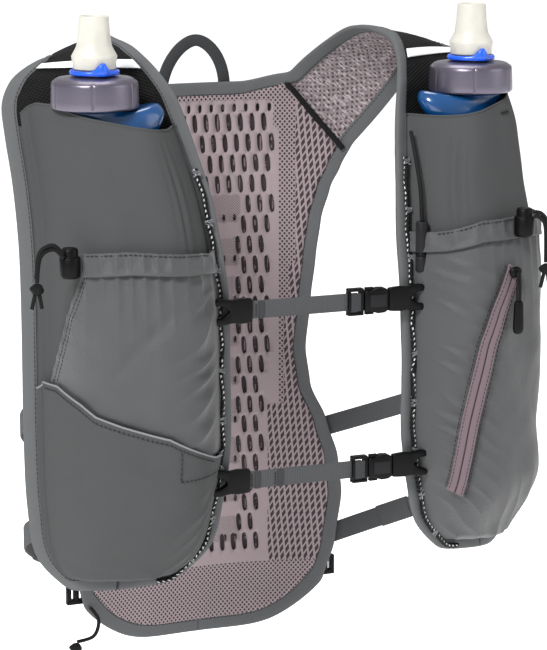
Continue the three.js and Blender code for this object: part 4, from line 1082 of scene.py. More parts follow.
def tape_stitches(name, rows, sign):
    """One line of stitches on each face of a folded tape."""
    edge, inside, normal = rows
    for face, way in (("out", 1), ("in", -1)):
        stitches(f"{name}_{face}", edge + (inside - edge) * 0.86 + normal * way * 1.72, normal * way, "thread_dark",
                 sign=sign, width=0.35, height=0.2)


v_up = np.linspace(0, 0.99, 240)
neck_left = joined_rows([front_rows(np.linspace(0.49, 0.01, 30), 0.0), front_rows(0.0, v_up),
                         back_rows(np.linspace(0.6, 0, 40), 0.0)])
neck_rows = [np.concatenate([rows, sided(rows[::-1][1:], -1)]) for rows in neck_left]
_, neck_line = tape("neck_tape", neck_rows, BINDING_THICK, 11, replaces=["neck_binding"])
side_rows = joined_rows([front_rows(np.linspace(0.51, 0.99, 30), 0.0), front_rows(1.0, v_up),
                         back_rows(1.0, np.linspace(0.02, 1, 200)), back_rows(np.linspace(0.99, 0.0005, 60), 1.0)])
for side_name, sign in SIDES:
    _, side_line = tape(f"side_tape_{side_name}", side_rows, BINDING_THICK, 17 + sign, sign=sign,
                        replaces=[f"side_binding_{side_name}"])
    tape_stitches(f"side_stitch_{side_name}", side_line, sign)
tape_stitches("neck_stitch", neck_line, 1)

# Front panels and shoulder straps
PANEL_TOP = 10.2 / ROWS


def to_back(points, lift):
    """Adds rows that carry the end of a strap over to the upper corner of the back."""
    join = back_inset(0.66 + 0.34 * np.linspace(0, 1, points.shape[1]), 0.005, CLOTH_INSET)
    steps = np.linspace(0.25, 1, 5)[:, None, None]
    return np.concatenate([points, points[-1] * (1 - steps) + (join + back_normal(join) * lift) * steps])


for side_name, sign in SIDES:
    u, v = np.meshgrid(np.linspace(0, 1, 30), np.linspace(0.0, PANEL_TOP + 0.004, 110))
    pts = panel_at(u, v)
    n = outward(np.maximum(0.026, v))
    zones = np.zeros((pts.shape[0] * pts.shape[1], 4))
    zones[:, 1] = zones[:, 3] = 1
    thicken(grid(f"panel_inner_{side_name}", pts - n * 0.5, "mesh", sign, zones=zones,
                 replaces=[f"front_panel_{side_name}"]), 0.6)
    yoke = float(v_at(-42.0))
    u, v = np.meshgrid(np.linspace(0, 1, 30), np.linspace(0.0, yoke, 80))
    n = outward(np.maximum(0.026, v))
    thicken(grid(f"panel_outer_{side_name}", panel_at(u, v) + n * 0.5, "stretch", sign), 0.6)
    u, v = np.meshgrid(np.linspace(0, 1, 30), np.linspace(yoke, 1.0, 160))
    n = outward(v)
    ripple = 0.35 * noise(u * 5, v * 60, 3)
    yoke_pts = panel_at(u, v) + n * (0.7 + ripple * smooth(yoke, yoke + 0.05, v))[..., None]
    thicken(grid(f"strap_outer_{side_name}", to_back(yoke_pts, 1.3), "black_net", sign,
                 replaces=[f"shoulder_strap_{side_name}"]), 0.6)
    u, v = np.meshgrid(np.linspace(0, 1, 60), np.linspace(PANEL_TOP, 1.0, 240))
    n = outward(v)
    crinkle = 0.6 * noise(u * 9, v * 150, 8) + 0.35 * noise(u * 18, v * 260, 18)
    crinkle = crinkle * smooth(0.0, 0.12, u) * smooth(1.0, 0.88, u)
    strap_pts = panel_at(u, v) - n * (0.5 + crinkle * smooth(1.0, 0.9, v))[..., None]
    thicken(grid(f"strap_inner_{side_name}", to_back(strap_pts, -1.1), "net", sign), 0.5)

# Seam tape over the join of strap and back
for side_name, sign in SIDES:
    t = np.linspace(0, 1, 30)
    share = 0.6 + 0.36 * t
    z = back_top(share) + (back_bottom(share) - back_top(share)) * 0.02
    x = share * back_half(z)
    p = np.stack([x, back_y(x), z], 1)
    rows = ribbon(p - back_normal(p) * 3.2, np.array([0.6, -0.1, 0.75]), 1.8)
    tape(f"seam_strip_{side_name}", rows, 0.8, 3, FLAT_PROFILE, 0.02, sign, "cord", replaces=[f"seam_tape_{side_name}"])

# Pockets
U_LOW, U_HIGH = -0.11, 1.06
HEM_TOP = {"left": np.array([[-0.06, -100], [0.02, -98.5], [0.185, -94], [0.52, -95.5], [1.06, -99]]),
           "right": np.array([[-0.06, -103], [0.0, -102], [0.06, -100.8], [0.475, -100.6], [0.76, -102.5]])}
CARGO_SEAM = np.array([[-102, 0.755], [-111, 0.785], [-137.5, 0.89], [-177, 0.99], [-205, 1.06]])
STRETCH_TOP = np.array([[-0.06, -217], [0.0, -215], [0.28, -199], [0.55, -192.5], [0.705, -188], [0.785, -182.5],
                        [0.915, -176.5], [0.99, -178], [1.06, -182]])


def closed(pts, u):
    """Adds rows that bring the lower edge of a pocket in to the panel behind it."""
    v = float(v_at(BOTTOM_Z - 7.0))
    foot = front(inside_share(u, np.full_like(u, v), POCKET_INSET), v) + outward(np.array(v)) * 1.6
    steps = np.array([1.0, 0.8, 0.5, 0.22])[:, None, None]
    bow = np.sin(np.pi * steps) * np.array([0, 0, -1.5])
    return np.concatenate([pts[0] * (1 - steps) + foot * steps + bow, pts])


def pocket_stitches(name, u, z, layer, lift, sign, slot, *sizes):
    """A line of stitches on a pocket, through the shares u across and the heights z."""
    stitches(name, layer_at(u, z, layer, 2 if layer > 1 else 0, lift), pocket_normal(u, v_at(z)), "thread_dark", *sizes,
             sign=sign, slot=slot)


def bottle_surface(side_name):
    u, t = np.meshgrid(np.linspace(U_LOW, U_HIGH, 111), np.linspace(0, 1, 171))
    mouth = np.interp(u, [0, 0.34, 0.59, 0.785, 0.87, 0.96, 1.06], [-35, -32.5, -30.5, -27.5, -26, -27.5, -35])
    z = BOTTOM_Z + (mouth - BOTTOM_Z) * t
    folds = np.exp(-((u - 0.07) / 0.06) ** 2) * smooth(-110, -80, z) * smooth(-34, -60, z)
    lift = 0.9 * folds * np.sin(2 * np.pi * u / 0.055 + 1.2 * noise(u * 3, z / 40, 4))
    body = np.sin(np.pi * np.clip(u, 0, 1))
    lift = lift + 0.9 * noise(u * 3.2, z / 34, 21 if side_name == "left" else 22) * body
    lift = lift + 0.45 * noise(u * 8 + z / 60, z / 17, 23 if side_name == "left" else 24) * body
    return u, z, layer_at(u, z, 1, 0, np.minimum(lift, 0.8))


for side_name, sign in SIDES:
    u, z, pts = bottle_surface(side_name)
    pts = closed(pts, u[0])
    bottle_cloth = thicken(grid(f"bottle_cloth_{side_name}", pts, "stretch", sign,
                                replaces=[f"bottle_pocket_{side_name}"]), 0.8)
    tube(f"mouth_roll_{side_name}", sided(pts[-1], sign), 0.75, "stretch", 8)
    pocket_stitches(f"mouth_tack_{side_name}", np.linspace(0.5, 0.62, 20), np.full(20, MOUTH_Z - 6), 1, 0.75, sign,
                    "stretch_mesh", 1.2, 1.6, 1.4, 0.5)


def sharp(phase):
    """Ridged wave: narrow crests between wide hollows, as in gathered cloth."""
    return 1 - 2 * np.abs(np.sin(phase / 2)) ** 0.7


def cargo_lift(side_name, u, z):
    """Folds of a cargo pocket: gathers under the hem, drag lines from the inner edge and soft hollows."""
    below = HEM_Z - 10 - z
    body = np.sin(np.pi * np.clip(u, 0, 1))
    gather = np.exp(-np.maximum(0, below) / 15) * sharp(2 * np.pi * u * 12 + 2.2 * noise(u * 4, z / 50, 31))
    soft = noise(u * 3.4 + z / 60, z / 30, 33) * body
    crush = noise(u * 9 + z / 45, z / 13 - u * 3, 51) * body
    if side_name == "right":
        inner_side = np.exp(-(np.maximum(0, u - 0.02) / 0.2) ** 2) * smooth(-0.06, 0.04, u)
        drag = sharp(2 * np.pi * (z + 62 * u + 5 * noise(u * 3, z / 22, 35)) / 14) * inner_side
        lift = 1.0 * gather + 1.35 * drag * smooth(-112, -130, z) + 1.7 * soft + 0.75 * crush
        fold = np.exp(-((z + 178 - 95 * (0.75 - u)) / 6) ** 2) * smooth(0.05, 0.3, u) * smooth(0.9, 0.6, u)
        seam = np.interp(-z, -CARGO_SEAM[:, 0], CARGO_SEAM[:, 1])
        ridge = np.exp(-((u - seam + 0.035) / 0.014) ** 2)
        pucker = np.exp(-((u - seam) / 0.06) ** 2) * sharp(2 * np.pi * z / 8)
        return lift - 1.6 * fold - 0.5 * ridge + 0.35 * pucker
    inner_side = np.exp(-(np.maximum(0, u) / 0.24) ** 2) * smooth(-0.06, 0.04, u)
    inner_side = inner_side * (0.55 + 0.6 * noise(u * 2.5, z / 11, 61))
    drag = sharp(2 * np.pi * (z + 85 * u + 6 * noise(u * 4, z / 20, 37)) / 12) * inner_side
    lift = 0.6 * gather * smooth(0.1, 0.3, u) + 1.7 * drag * smooth(-108, -122, z) + 1.2 * soft + 0.6 * crush
    lift += 0.8 * np.sin(2 * np.pi * (u * 2.1 + z / 70) + 1.4) * smooth(0.25, 0.5, u) * smooth(-112, -140, z)
    low = smooth(-225, -275, z) * smooth(0.2, 0.6, u)
    return lift + 0.8 * low * sharp(2 * np.pi * (u * 7 + z / 45))


def cloth_layer(name, sign, layer, extra, z_low, z_high, lift_of, mat, nu=130, nv=130, thick=0.8, foot=False,
                end=None, **kw):
    u, t = np.meshgrid(np.linspace(0, 1, nu + 1), np.linspace(0, 1, nv + 1))
    low, high = (f(u) if callable(f) else np.full_like(u, f) for f in (z_low, z_high))
    z = low + (high - low) * t
    last = np.full_like(z, U_HIGH) if end is None else end(z)
    u = U_LOW + (last - U_LOW) * u
    if callable(z_high):
        low = z_low(u) if callable(z_low) else low
        z = low + (z_high(u) - low) * t
    lift = lift_of(u, z)
    if end is not None:
        near = smooth(last - 0.02, last, u) * smooth(1.05, 0.99, last)
        lift = lift - near * (LAYER_STEP * (layer - 1) + extra - 0.6)
    pts = layer_at(u, z, layer, extra, lift)
    if foot:
        pts = closed(pts, u[0])
    return thicken(grid(name, pts, mat, sign, **kw), thick), pts


def hem_lift(u, z):
    t = (z - HEM_Z + 10) / 10
    waves = 0.7 * sharp(2 * np.pi * u * 12 + 2.2 * noise(u * 4, z / 50, 31)) + 0.6 * noise(u * 20, t * 1.5, 41)
    return waves * np.sin(np.pi * np.clip(t, 0, 1)) ** 0.5 + 0.3


def stretch_top(u):
    return np.interp(u, STRETCH_TOP[:, 0], STRETCH_TOP[:, 1])


def hem_top(side_name, u):
    return np.interp(u, HEM_TOP[side_name][:, 0], HEM_TOP[side_name][:, 1])


def cargo_end(z):
    return np.interp(-z, -CARGO_SEAM[:, 0], CARGO_SEAM[:, 1])


for side_name, sign in SIDES:
    right = side_name == "right"

    def hem_at(u, drop=0.0, name=side_name):
        return hem_top(name, u) - drop

    def cargo_shape(u, z, name=side_name, most=2.0 if right else 2.2):
        under = 2.2 * smooth(3, -3, z - stretch_top(u)) if name == "right" else 0.0
        return np.clip(cargo_lift(name, u, z), -3, most) - under

    cargo, cargo_pts = cloth_layer(f"cargo_cloth_{side_name}", sign, 2, 2, BOTTOM_Z, lambda u: hem_at(u, 4),
                                   cargo_shape,
                                   "ripstop", 168, 168, foot=not right, end=cargo_end if right else None,
                                   replaces=[f"cargo_pocket_{side_name}"])
    hem, hem_pts = cloth_layer(f"hem_cloth_{side_name}", sign, 3, 2, lambda u: hem_at(u, 11.5), hem_at,
                               lambda u, z: hem_lift(u, z - hem_at(u) + HEM_Z), "ripstop", 190, 14, 1.0,
                               end=(lambda z: np.full_like(z, 0.765)) if right else None,
                               replaces=[f"pocket_hem_{side_name}"])
    uu = np.linspace(0.0, 0.75 if right else 1.0, 160)
    for k, (dz, lift) in enumerate(((-1.4, 0.9), (-11.2, -0.6))):
        zz = hem_top(side_name, uu) + dz
        pocket_stitches(f"hem_stitch_{side_name}_{k}", uu, zz, 3, lift, sign, "grey_fabric")

zz = np.linspace(-106, -176, 80)
for k, off in enumerate((0.035, 0.055)):
    uu = cargo_end(zz) - off
    lift = cargo_lift("right", uu, zz) + 0.4
    pocket_stitches(f"cargo_seam_stitch_{k}", uu, zz, 2, lift, -1, "grey_fabric")


def stretch_lift(u, z):
    """Folds of the low stretch pocket."""
    body = np.sin(np.pi * np.clip(u, 0, 1))
    soft = 1.5 * noise(u * 3, z / 26, 44) * body + 0.5 * noise(u * 7, z / 14, 45) * body
    arch = np.exp(-((z + 240 - 22 * np.sin(np.pi * (u - 0.1) / 0.9)) / 4.5) ** 2) * np.exp(-((u - 0.5) / 0.3) ** 2)
    inner_side = np.exp(-(np.maximum(0, u) / 0.15) ** 2) * smooth(-225, -245, z) * smooth(-0.06, 0.04, u)
    drag = sharp(2 * np.pi * (z + 70 * u + 4 * noise(u * 4, z / 20, 47)) / 12) * inner_side
    low = smooth(-262, -282, z) * sharp(2 * np.pi * (z - 26 * u) / 17 + 2 * noise(u * 3, z / 30, 48)) * body
    edge = smooth(0.08, 0.0, u) * smooth(-214, -224, z)
    return soft + 1.5 * arch + 0.8 * drag + 0.7 * low - 1.0 * edge


stretch_sheet, stretch_pts = cloth_layer(
    "stretch_cloth_right", -1, 3, 2, BOTTOM_Z, stretch_top,
    stretch_lift,
    "stretch", 150, 110, foot=True, replaces=["stretch_pocket_right"])
tube("stretch_edge_roll", sided(stretch_pts[-1], -1), 0.6, "thread", 8)
uu = np.linspace(0.02, 0.98, 160)
pocket_stitches("stretch_edge_stitch", uu, stretch_top(uu) - 2.6, 3, 1.0, -1, "stretch_mesh")
box_u = np.concatenate([np.full(12, 0.22), np.linspace(0.22, 0.0, 16)])
box_z = np.concatenate([np.linspace(-205, -221, 12), np.full(16, -223)])
pocket_stitches("stretch_box_stitch", box_u, box_z, 3, 1.2, -1, "stretch_mesh")

# Flasks
# Columns: share of the way down, width, depth, and how far the flask leans with its pocket
FLASK_ROWS = np.array([[0.0, 0.58, 1.05, 0], [0.012, 0.6, 1.05, 0.0], [0.03, 0.86, 1.1, 0.1],
                       [0.06, 0.97, 1.08, 0.35], [0.12, 0.99, 1.02, 0.75],
                       [0.25, 0.98, 1, 1], [0.5, 1, 1, 1], [0.75, 1, 1, 1], [0.9, 0.93, 0.8, 1], [1, 0.8, 0.3, 1]])
CAP_TOP_Z = -9.0
FLASK_TOP_Z = CAP_TOP_Z - 17.4


def tuck(d):
    """How far down the outer side of the flask is drawn in by its pocket."""
    return float(smooth(0.008, 0.04, d) * smooth(0.4, 0.22, d))


def flask_rings(x, y):
    down = np.concatenate([np.linspace(0, 0.25, 40), np.linspace(0.27, 1, 30)])
    wide, deep, swing = (np.interp(down, FLASK_ROWS[:, 0], FLASK_ROWS[:, k]) for k in (1, 2, 3))
    wide, deep, swing = blur(wide, 2), blur(deep, 2), blur(swing, 2)
    tip = smooth(0.0, 0.035, down) * smooth(0.11, 0.05, down)
    slim = 1 - 0.14 * smooth(0.05, 0.14, down)
    wide, deep = wide * slim, deep * slim
    a = np.linspace(0, 2 * math.pi, 56, endpoint=False)
    rings = []
    for d, w, p, s, k in zip(down, wide, deep, swing, tip):
        z = FLASK_TOP_Z - d * 200
        v = float(v_at(z))
        chord = outer(np.array(v)) - inner(np.array(v))
        chord[2] = 0
        across = np.array([-LEVEL_OUT[1], LEVEL_OUT[0], 0]) * (1 - s) + unit(chord) * s
        seat = front(0.5, v) + LEVEL_OUT * (3.8 + 16)
        centre = np.array([x, y, z]) * (1 - s) + np.array([seat[0], seat[1], z]) * s
        ring = centre + np.outer(np.cos(a), across) * 32 * w + np.outer(np.sin(a), LEVEL_OUT) * 16 * p
        inner_side = np.clip(-np.cos(a), 0, 1) ** 1.5
        ring[:, 2] += 9.0 * k * inner_side
        ring[:, 0] -= 8.0 * k * inner_side + 12.0 * tuck(d) * np.clip(np.cos(a), 0, 1) ** 1.2
        rings.append(ring)
    return np.array(rings)


def grooves(a, h):
    """Grip grooves round the cap."""
    if -15.5 < h < -2.0:
        return 0.55 * np.exp(-((np.mod(a * 3 / math.pi + 0.35, 1) - 0.5) / 0.02) ** 2)
    return 0.0


CAP_PROFILE = [(0.5, -17), (22.5, -17), (23.7, -16.8), (24.3, -16.2), (24.5, -15.4), (24.4, -12), (24.2, -8),
               (24.0, -4), (23.8, -2.6), (23.2, -1.7), (22.2, -1.2), (21.6, -0.6), (20.5, -0.1), (16, 0.4), (11, 0.9),
               (10, 1.2), (0.5, 1.2)]
VALVE_PROFILE = [(0.5, 1.6), (8.6, 1.6), (8.8, 3), (8.8, 4.6), (11.7, 4.8), (12.0, 5.4), (12.1, 8.4), (12.6, 10.8),
                 (12.7, 11.8), (12.2, 12.9), (10.9, 15.2), (10.0, 17.0), (9.5, 19.0), (9.1, 22), (8.7, 26), (8.4, 30),
                 (8.3, 32.4), (8.0, 33.5), (7.4, 33.9), (6.9, 33.3), (6.6, 31.9), (0.5, 31.8)]
# Columns: radius, height, and the share of the hump that the row takes
LOCK_ROWS = ((9.4, 1.7, 0), (13.4, 1.7, 0), (13.9, 2.1, 0), (13.9, 3.4, 0.3), (13.5, 4.1, 0.8), (12.9, 4.4, 1),
             (12.7, 4.2, 0), (9.6, 4.2, 0))
CAP_X, CAP_Y = 115.5, -68.0
for side_name, sign in SIDES:
    x = CAP_X - sign * 1.5
    loft(f"flask_body_{side_name}", flask_rings(x, CAP_Y), "flask", sign=sign, replaces=[f"flask_{side_name}"])
    at = (sign * x, CAP_Y, CAP_TOP_Z)
    turned(f"cap_shell_{side_name}", CAP_PROFILE, at, "cap", 288, grooves, body=f"cap_{side_name}",
           replaces=[f"flask_cap_{side_name}"])
    turned(f"bite_valve_{side_name}", VALVE_PROFILE, at, "valve", 48, body=f"cap_{side_name}",
           replaces=[f"mouthpiece_{side_name}"])
    a = np.linspace(0, 2 * math.pi, 72, endpoint=False)
    off = np.abs(np.angle(np.exp(1j * (a + math.pi / 2))))
    hump = np.exp(-(off / 0.26) ** 2)
    back_hump = np.exp(-((math.pi - off) / 0.3) ** 2)
    rings = []
    for r, h, k in LOCK_ROWS:
        radius = r + (2.2 * hump + 1.2 * back_hump) * (r > 12)
        height = np.minimum(h + k * 5.0 * hump + k * 1.2 * back_hump, 9.2)
        rings.append(np.stack([at[0] + radius * np.cos(a), at[1] + radius * np.sin(a), at[2] + height], 1))
    rings.append(rings[0])
    loft(f"lock_ring_{side_name}", np.array(rings), "lock", caps=False, body=f"lock_{side_name}",
         replaces=[f"valve_lock_{side_name}"])

# Reflective strips on the shoulders
for side_name, sign in SIDES:
    t = np.linspace(0.02, 0.98, 60)
    n = np.broadcast_to(outward(np.array(0.615)), (60, 3))
    rows = (panel_at(t, 0.604) + n * 2.1, panel_at(t, 0.626) + n * 2.1, n)
    tape(f"reflective_band_{side_name}", rows, 0.6, 4, FLAT_PROFILE, 0.02, sign, "silver",
         replaces=[f"reflective_strip_{side_name}"])

# Cord laced down the centre edge, tacked at even distances
TACK_EVERY = 28.0
for side_name, sign in SIDES:
    v = np.linspace(0.42, 0.012, 260)
    path = edge_cord_point(v)
    tail_u = np.linspace(0.1, 0.17, 12)
    tail = front(tail_u, 0.012) + outward(np.full(12, 0.026)) * 3.6
    path = blur(np.concatenate([path, tail]), 6)
    d = arc_lengths(path)
    even = np.linspace(0, d[-1], 420)
    path = resample(path, d, even)
    phase = np.abs(np.sin(np.pi * even / TACK_EVERY))
    path[:, 1] -= 0.35 * phase
    path[:, 0] += 0.5 * np.sin(2 * np.pi * even / TACK_EVERY + 1) * phase
    radius = 1.35 + 0.16 * np.sin(2 * np.pi * even / 2.8)
    tube(f"edge_cord_line_{side_name}", sided(path, sign), radius, "fleck", 12, replaces=[f"edge_cord_{side_name}"])
    tangent = frames(path)[0]
    parts = []
    rng = np.random.default_rng(7)
    n = unit(np.array([0.25, -1.0, 0.0]))
    for s in np.arange(2, even[-1], TACK_EVERY):
        k = min(int(np.searchsorted(even, s)), len(path) - 1)
        side = unit(np.cross(tangent[k], n))
        for _ in range(5):
            c = path[k] + tangent[k] * rng.uniform(-1.6, 1.6) + n * 1.3
            turn = rng.uniform(-0.7, 0.7)
            way = side * math.cos(turn) + tangent[k] * math.sin(turn)
            verts, faces = bar(c - way * 2.3, c + way * 2.3, unit(np.cross(n, way)), n, 0.4, 0.45)
            parts.append((sided(verts, sign), faces))
    joined(f"edge_tacks_{side_name}", parts, "thread", flat=True)

# Sternum straps with their hooks, adjuster and buckle
UPPER_STRAP_Z, LOWER_STRAP_Z = -137.0, -234.0
HOOK_ROOM = 3.0
LADDER_BARS = ((0, 9.5, 6.0, 7.8), (0, 9.5, -7.8, -6.0), (0, 1.8, -6.2, 6.2), (7.4, 9.5, -6.2, 6.2))
for level, z in (("upper", UPPER_STRAP_Z), ("lower", LOWER_STRAP_Z)):
    cord_at = edge_cord_point(v_at(z))
    y = cord_at[1] - HOOK_ROOM - 1.7 - 1.5 + 2.3
    end = cord_at[0] - 17
    cx = cord_at[0]
    fork = [(end, -6.6), (end + 3.5, -7.0), (end + 7.5, -7.2), (cx - 5, -6.6), (cx + 1.0, -7.6), (cx + 4.6, -7.4),
            (cx + 5.6, -5.6), (cx + 4.6, -3.6), (cx + 1.0, -3.3), (cx - 2.4, -1.2), (cx - 3.2, 0), (cx - 2.4, 1.2),
            (cx + 1.0, 3.3), (cx + 4.6, 3.6), (cx + 5.6, 5.6), (cx + 4.6, 7.4), (cx + 1.0, 7.6), (cx - 5, 6.6),
            (end + 7.5, 7.2), (end + 3.5, 7.0), (end, 6.6)]
    fork = [(a, b + z) for a, b in fork]
    for side_name, sign in SIDES:
        outline_solid(f"hook_{level}_{side_name}_fork", fork, y - 2.3, y + 1.3, "plastic", bevel=0.8, sign=sign,
                      replaces=[f"hook_{level}_{side_name}"])
        for k, dz in enumerate((-5.5, 5.5)):
            lip = box(cx + 3.0, cx + 5.5, z + dz - 1.8, z + dz + 1.8)
            outline_solid(f"hook_{level}_{side_name}_lip_{k}", lip, y + 1.2, y + 4.6, "plastic", sign=sign)
        if side_name == "right":
            outline_solid(f"hook_{level}_bar_right", box(end - 0.6, end + 4.5, z - 6.4, z + 6.4), y + 1.2, y + 2.6,
                          "plastic", sign=sign)
    right = end - 0.4
    left = right - 15.0
    body_half = [(left, 5.2), (left + 1.6, 6.2), (left + 3.4, 5.6), (left + 5.2, 6.4), (left + 8.5, 7.4),
                 (left + 12.5, 7.2), (right, 5.8)]
    shell = [(a, z + b) for a, b in body_half] + [(a, z - b) for a, b in reversed(body_half)]
    outline_solid(f"buckle_{level}_shell", shell, y - 3.0, y + 3.0, "plastic", bevel=1.1, replaces=[f"buckle_{level}"])
    outline_solid(f"buckle_{level}_panel", box(left + 3.2, right - 1.6, z - 3.6, z + 3.6), y - 3.5, y - 2.6,
                  "plastic_soft", bevel=0.4)
    for k, dz in enumerate((-6.9, 6.9)):
        arm = box(left + 1.2, left + 6.2, z + dz - 0.9, z + dz + 0.9)
        outline_solid(f"buckle_{level}_arm_{k}", arm, y - 1.4, y + 1.4, "plastic", bevel=0.4)
    lock_left = left - 0.4 - 9.5
    for k, (x0, x1, z0, z1) in enumerate(LADDER_BARS):
        frame_bar = box(lock_left + x0, lock_left + x1, z + z0, z + z1)
        outline_solid(f"ladder_{level}_{k}", frame_bar, y - 2.6, y + 2.2, "plastic", bevel=0.6,
                      replaces=[f"ladder_lock_{level}"] if k == 0 else ())
    web_end = lock_left + 6.1
    web_start = -end - 5
    t = np.linspace(0, 1, 90)
    line = np.stack([web_start + (web_end - web_start) * t, np.full(90, y), np.full(90, z)], 1)
    n = np.broadcast_to(np.array([0.0, -1.0, 0.0]), (90, 3))
    half_w = np.array([0, 0, 5.0])
    tape(f"sternum_web_{level}", (line - half_w, line + half_w, n), 1.4, 6, STRAP_PROFILE, 0.05, 1, "web",
         replaces=[f"sternum_strap_{level}"])
    fold_x = web_start + 9.0
    folds = [fold_x] if level == "upper" else [fold_x - 1, fold_x + 13]
    for k, fx in enumerate(folds):
        outline_solid(f"web_fold_{level}_{k}", box(fx, fx + 3.2, z - 5.1, z + 5.1), y - 1.5, y - 0.6, "web_dark",
                      bevel=0.3)
        stitches(f"web_fold_stitch_{level}_{k}", np.array([[fx - 1.6, y - 0.9, z - 4.6], [fx - 1.6, y - 0.9, z + 4.6]]),
                 np.array([[0, -1.0, 0], [0, -1.0, 0]]), "thread_dark", 1.2, 1.9, slot="webbing_grey")
    outline_solid(f"ladder_wrap_{level}", box(lock_left + 1.6, lock_left + 7.6, z - 5.2, z + 5.2), y - 2.9, y - 2.0,
                  "web_dark", bevel=0.4)

# Side straps
KEEPER_PART = slice(22, 37)
for row_name, back_z, front_z in (("upper", -0.645, -0.5), ("lower", -0.825, -0.655)):
    half = float(back_half(back_z * HEIGHT))
    yb = float(back_y(half))
    seat = np.array([half - 5, yb + 2.5, back_z * HEIGHT])
    start = seat + back_normal(seat) * (BINDING_THICK / 2 + 3 * GAP + 1.4)
    v = float(v_at(front_z * HEIGHT))
    finish = front(1 - 5 / front_width(np.array(v)), v) - outward(np.array(v)) * (BINDING_THICK / 2 + 4 * GAP + 1.4)
    bend = np.array([HALF_WIDTH * 1.02, BODY_CENTRE_Y + 30, (back_z * 0.45 + front_z * 0.55) * HEIGHT])
    t = np.linspace(0, 1, 100)[:, None]
    line = start * (1 - t) ** 2 + bend * 2 * t * (1 - t) + finish * t * t
    upright = np.array([0, 0, 1.0])
    for side_name, sign in SIDES:
        tape(f"side_web_{row_name}_{side_name}", ribbon(line, upright, 6.25), 1.4, 8, STRAP_PROFILE, 0.05, sign, "web",
             replaces=[f"side_strap_{row_name}_{side_name}"])
        if row_name == "lower":
            keeper = [rows[KEEPER_PART] for rows in ribbon(line, upright, 6.9)]
            tape(f"strap_keeper_{side_name}", keeper, 2.9, 8, STRAP_PROFILE, 0.05, sign, "web")

# Ladder locks behind the lower corners of the back
SIDE_LOCK_BARS = ((79, 92, -347.7, -344.5), (79, 92, -357.5, -354.3), (79, 82, -356, -346), (84, 87.4, -356, -346),
                  (89, 92, -356, -346))
for side_name, sign in SIDES:
    y0 = float(back_y(79.0)) + 2.2
    for k, corners in enumerate(SIDE_LOCK_BARS):
        outline_solid(f"side_ladder_{side_name}_{k}", box(*corners), y0, y0 + 4, "plastic", bevel=0.6, sign=sign,
                      replaces=[f"side_lock_{side_name}"] if k == 0 else ())

# Haul loop
a = np.linspace(0, math.pi, 80)
x = 21 * np.sign(np.cos(a)) * np.abs(np.cos(a)) ** 1.2
line = np.stack([x + 2.5 * np.sin(a), back_y(x) + 3.1, -39 + 33.5 * np.sin(a) ** 0.95], 1)
across = np.stack([np.cos(a), a * 0, np.sin(a)], 1)
tape("haul_web", ribbon(line, across, 3.75), 1.8, 9, STRAP_PROFILE, 0.05, 1, "web_dark", replaces=["haul_loop"])


# Zip on the wearer's left
def zip_row(t):
    z = -121 + (-251 + 121) * t
    return np.interp(-z, [121, 142.5, 162, 185.5, 201.5, 224, 251], [0.375, 0.25, 0.18, 0.135, 0.11, 0.08, 0.035]), z


t = np.linspace(0, 1, 110)
zu, zz = zip_row(t)
centre = blur(layer_at(zu, zz, 2, 2, 2.6), 8)
normal = pocket_normal(zu, v_at(zz))
along = unit(np.gradient(centre, axis=0))
side = unit(np.cross(normal, along))
for k, (a0, a1) in enumerate(((-5.0, -0.35), (0.35, 5.0))):
    tape(f"zip_half_{k}", (centre + side * a0, centre + side * a1, normal), 0.8, 5, FLAT_PROFILE, 0.03, 1, "zip",
         replaces=["zip_tape"] if k == 0 else ())
tube("zip_coil_line", centre - normal * 0.1, 0.5, "coil", 8)
for k, off in enumerate((-6.4, 6.4)):
    stitches(f"zip_stitch_{k}", centre + side * off - normal * 0.9, normal, "thread_dark", slot="zip_mauve")
for k, off in enumerate((-3.9, 3.9)):
    stitches(f"zip_edge_stitch_{k}", centre + side * off + normal * 0.45, normal, "thread_dark", 1.4, 2.4, 0.35, 0.2,
             slot="zip_mauve")
head = layer_at(*zip_row(0.02), 2, 2, 4.6)
ellipsoid("zip_slider_head", head, (3.9, 2.0, 3.4), "plastic", replaces=["zip_slider"])
pull_top = layer_at(*zip_row(0.03), 2, 2, 7.6)
for k, dx in enumerate((-0.9, 0.9)):
    strand = rounded_path(pull_top + np.array([[dx * 0.6, 0.4, 1.5], [dx, -0.2, -6], [dx, -0.3, -15.5]]), 16)
    tube(f"zip_pull_strand_{k}", strand, 0.75, "cord", hint=(0, 1, 0))
tab = []
for h, w, d in ((-15, 1.8, 1.3), (-16, 2.5, 1.5), (-19, 2.8, 1.6), (-27, 3.1, 1.6), (-31, 3.2, 1.6), (-33.2, 2.6, 1.4),
                (-34, 1.3, 0.8)):
    q = np.linspace(0, 2 * math.pi, 24, endpoint=False)
    c, s = np.cos(q), np.sin(q)
    tab.append(np.stack([pull_top[0] + w * np.sign(c) * np.abs(c) ** 0.6,
                         pull_top[1] - 0.3 + d * np.sign(s) * np.abs(s) ** 0.6, np.full(24, pull_top[2] + h)], 1))
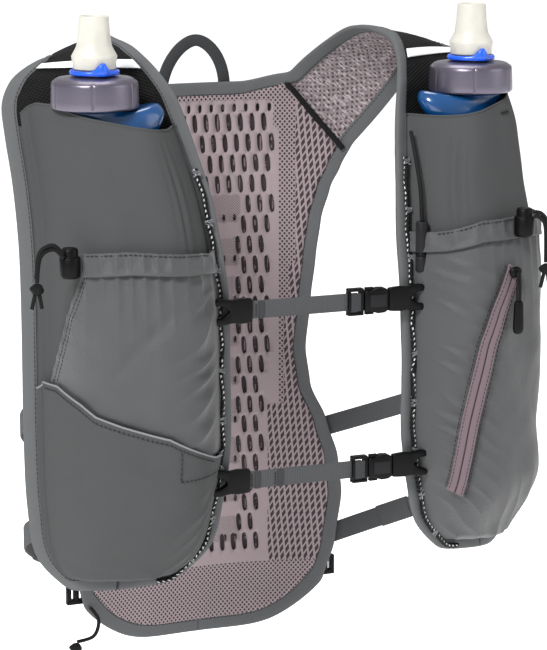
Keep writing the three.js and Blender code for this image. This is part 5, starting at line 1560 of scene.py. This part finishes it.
loft("zip_pull_tab", np.array(tab), "plastic", replaces=["zip_pull"])

# Cord locks
BARREL = [(0.5, -8), (4.6, -8), (5.4, -7.4), (5.8, -6.2), (5.8, 3.0), (5.5, 3.5), (4.7, 3.6), (4.6, 4.0), (4.6, 7.2),
          (4.0, 8.2), (3.0, 8.5), (0.5, 8.5)]
for side_name, sign in SIDES:
    turned(f"lock_barrel_{side_name}", BARREL, sided(lock_centres[side_name], sign), "plastic", 36,
           replaces=[f"cord_lock_{side_name}"])

# Floor, light and backdrop, in metres
floor = bpy.data.meshes.new("floor")
floor.from_pydata([(-8, -6, -0.46), (8, -6, -0.46), (8, 12, -0.46), (-8, 12, -0.46)], [], [[0, 1, 2, 3]])
floor_obj = bpy.data.objects.new("floor", floor)
bpy.context.scene.collection.objects.link(floor_obj)
floor_look = Look("floor_pale", (0.92, 0.92, 0.92), 0.9)
floor_look.set("Emission Color", (1, 1, 1, 1))
floor_look.set("Emission Strength", 0.55)
floor.materials.append(floor_look.mat)
floor_obj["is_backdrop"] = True


def area_light(name, at, aim, size_m, power):
    data = bpy.data.lights.new(name, "AREA")
    data.shape = "DISK"
    data.size = size_m
    data.energy = power
    obj = bpy.data.objects.new(name, data)
    obj.location = at
    obj.rotation_mode = "QUATERNION"
    obj.rotation_quaternion = (Vector(aim) - Vector(at)).to_track_quat("-Z", "Y")
    bpy.context.scene.collection.objects.link(obj)


area_light("key", (-2.0, -1.7, 2.1), (0, 0, -0.2), 0.9, 125)
area_light("fill", (2.2, -1.6, 0.9), (0, 0, -0.2), 2.0, 16)
area_light("top", (0.2, 0.8, 2.2), (0, 0, -0.2), 1.4, 30)
world = bpy.data.worlds.new("studio")
world.use_nodes = True
world.node_tree.nodes["Background"].inputs[0].default_value = (1, 1, 1, 1)
world.node_tree.nodes["Background"].inputs[1].default_value = 0.5
bpy.context.scene.world = world
bpy.context.scene.view_settings.view_transform = "Standard"

low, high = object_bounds()
size["scene_low"], size["scene_high"] = list(low), list(high)
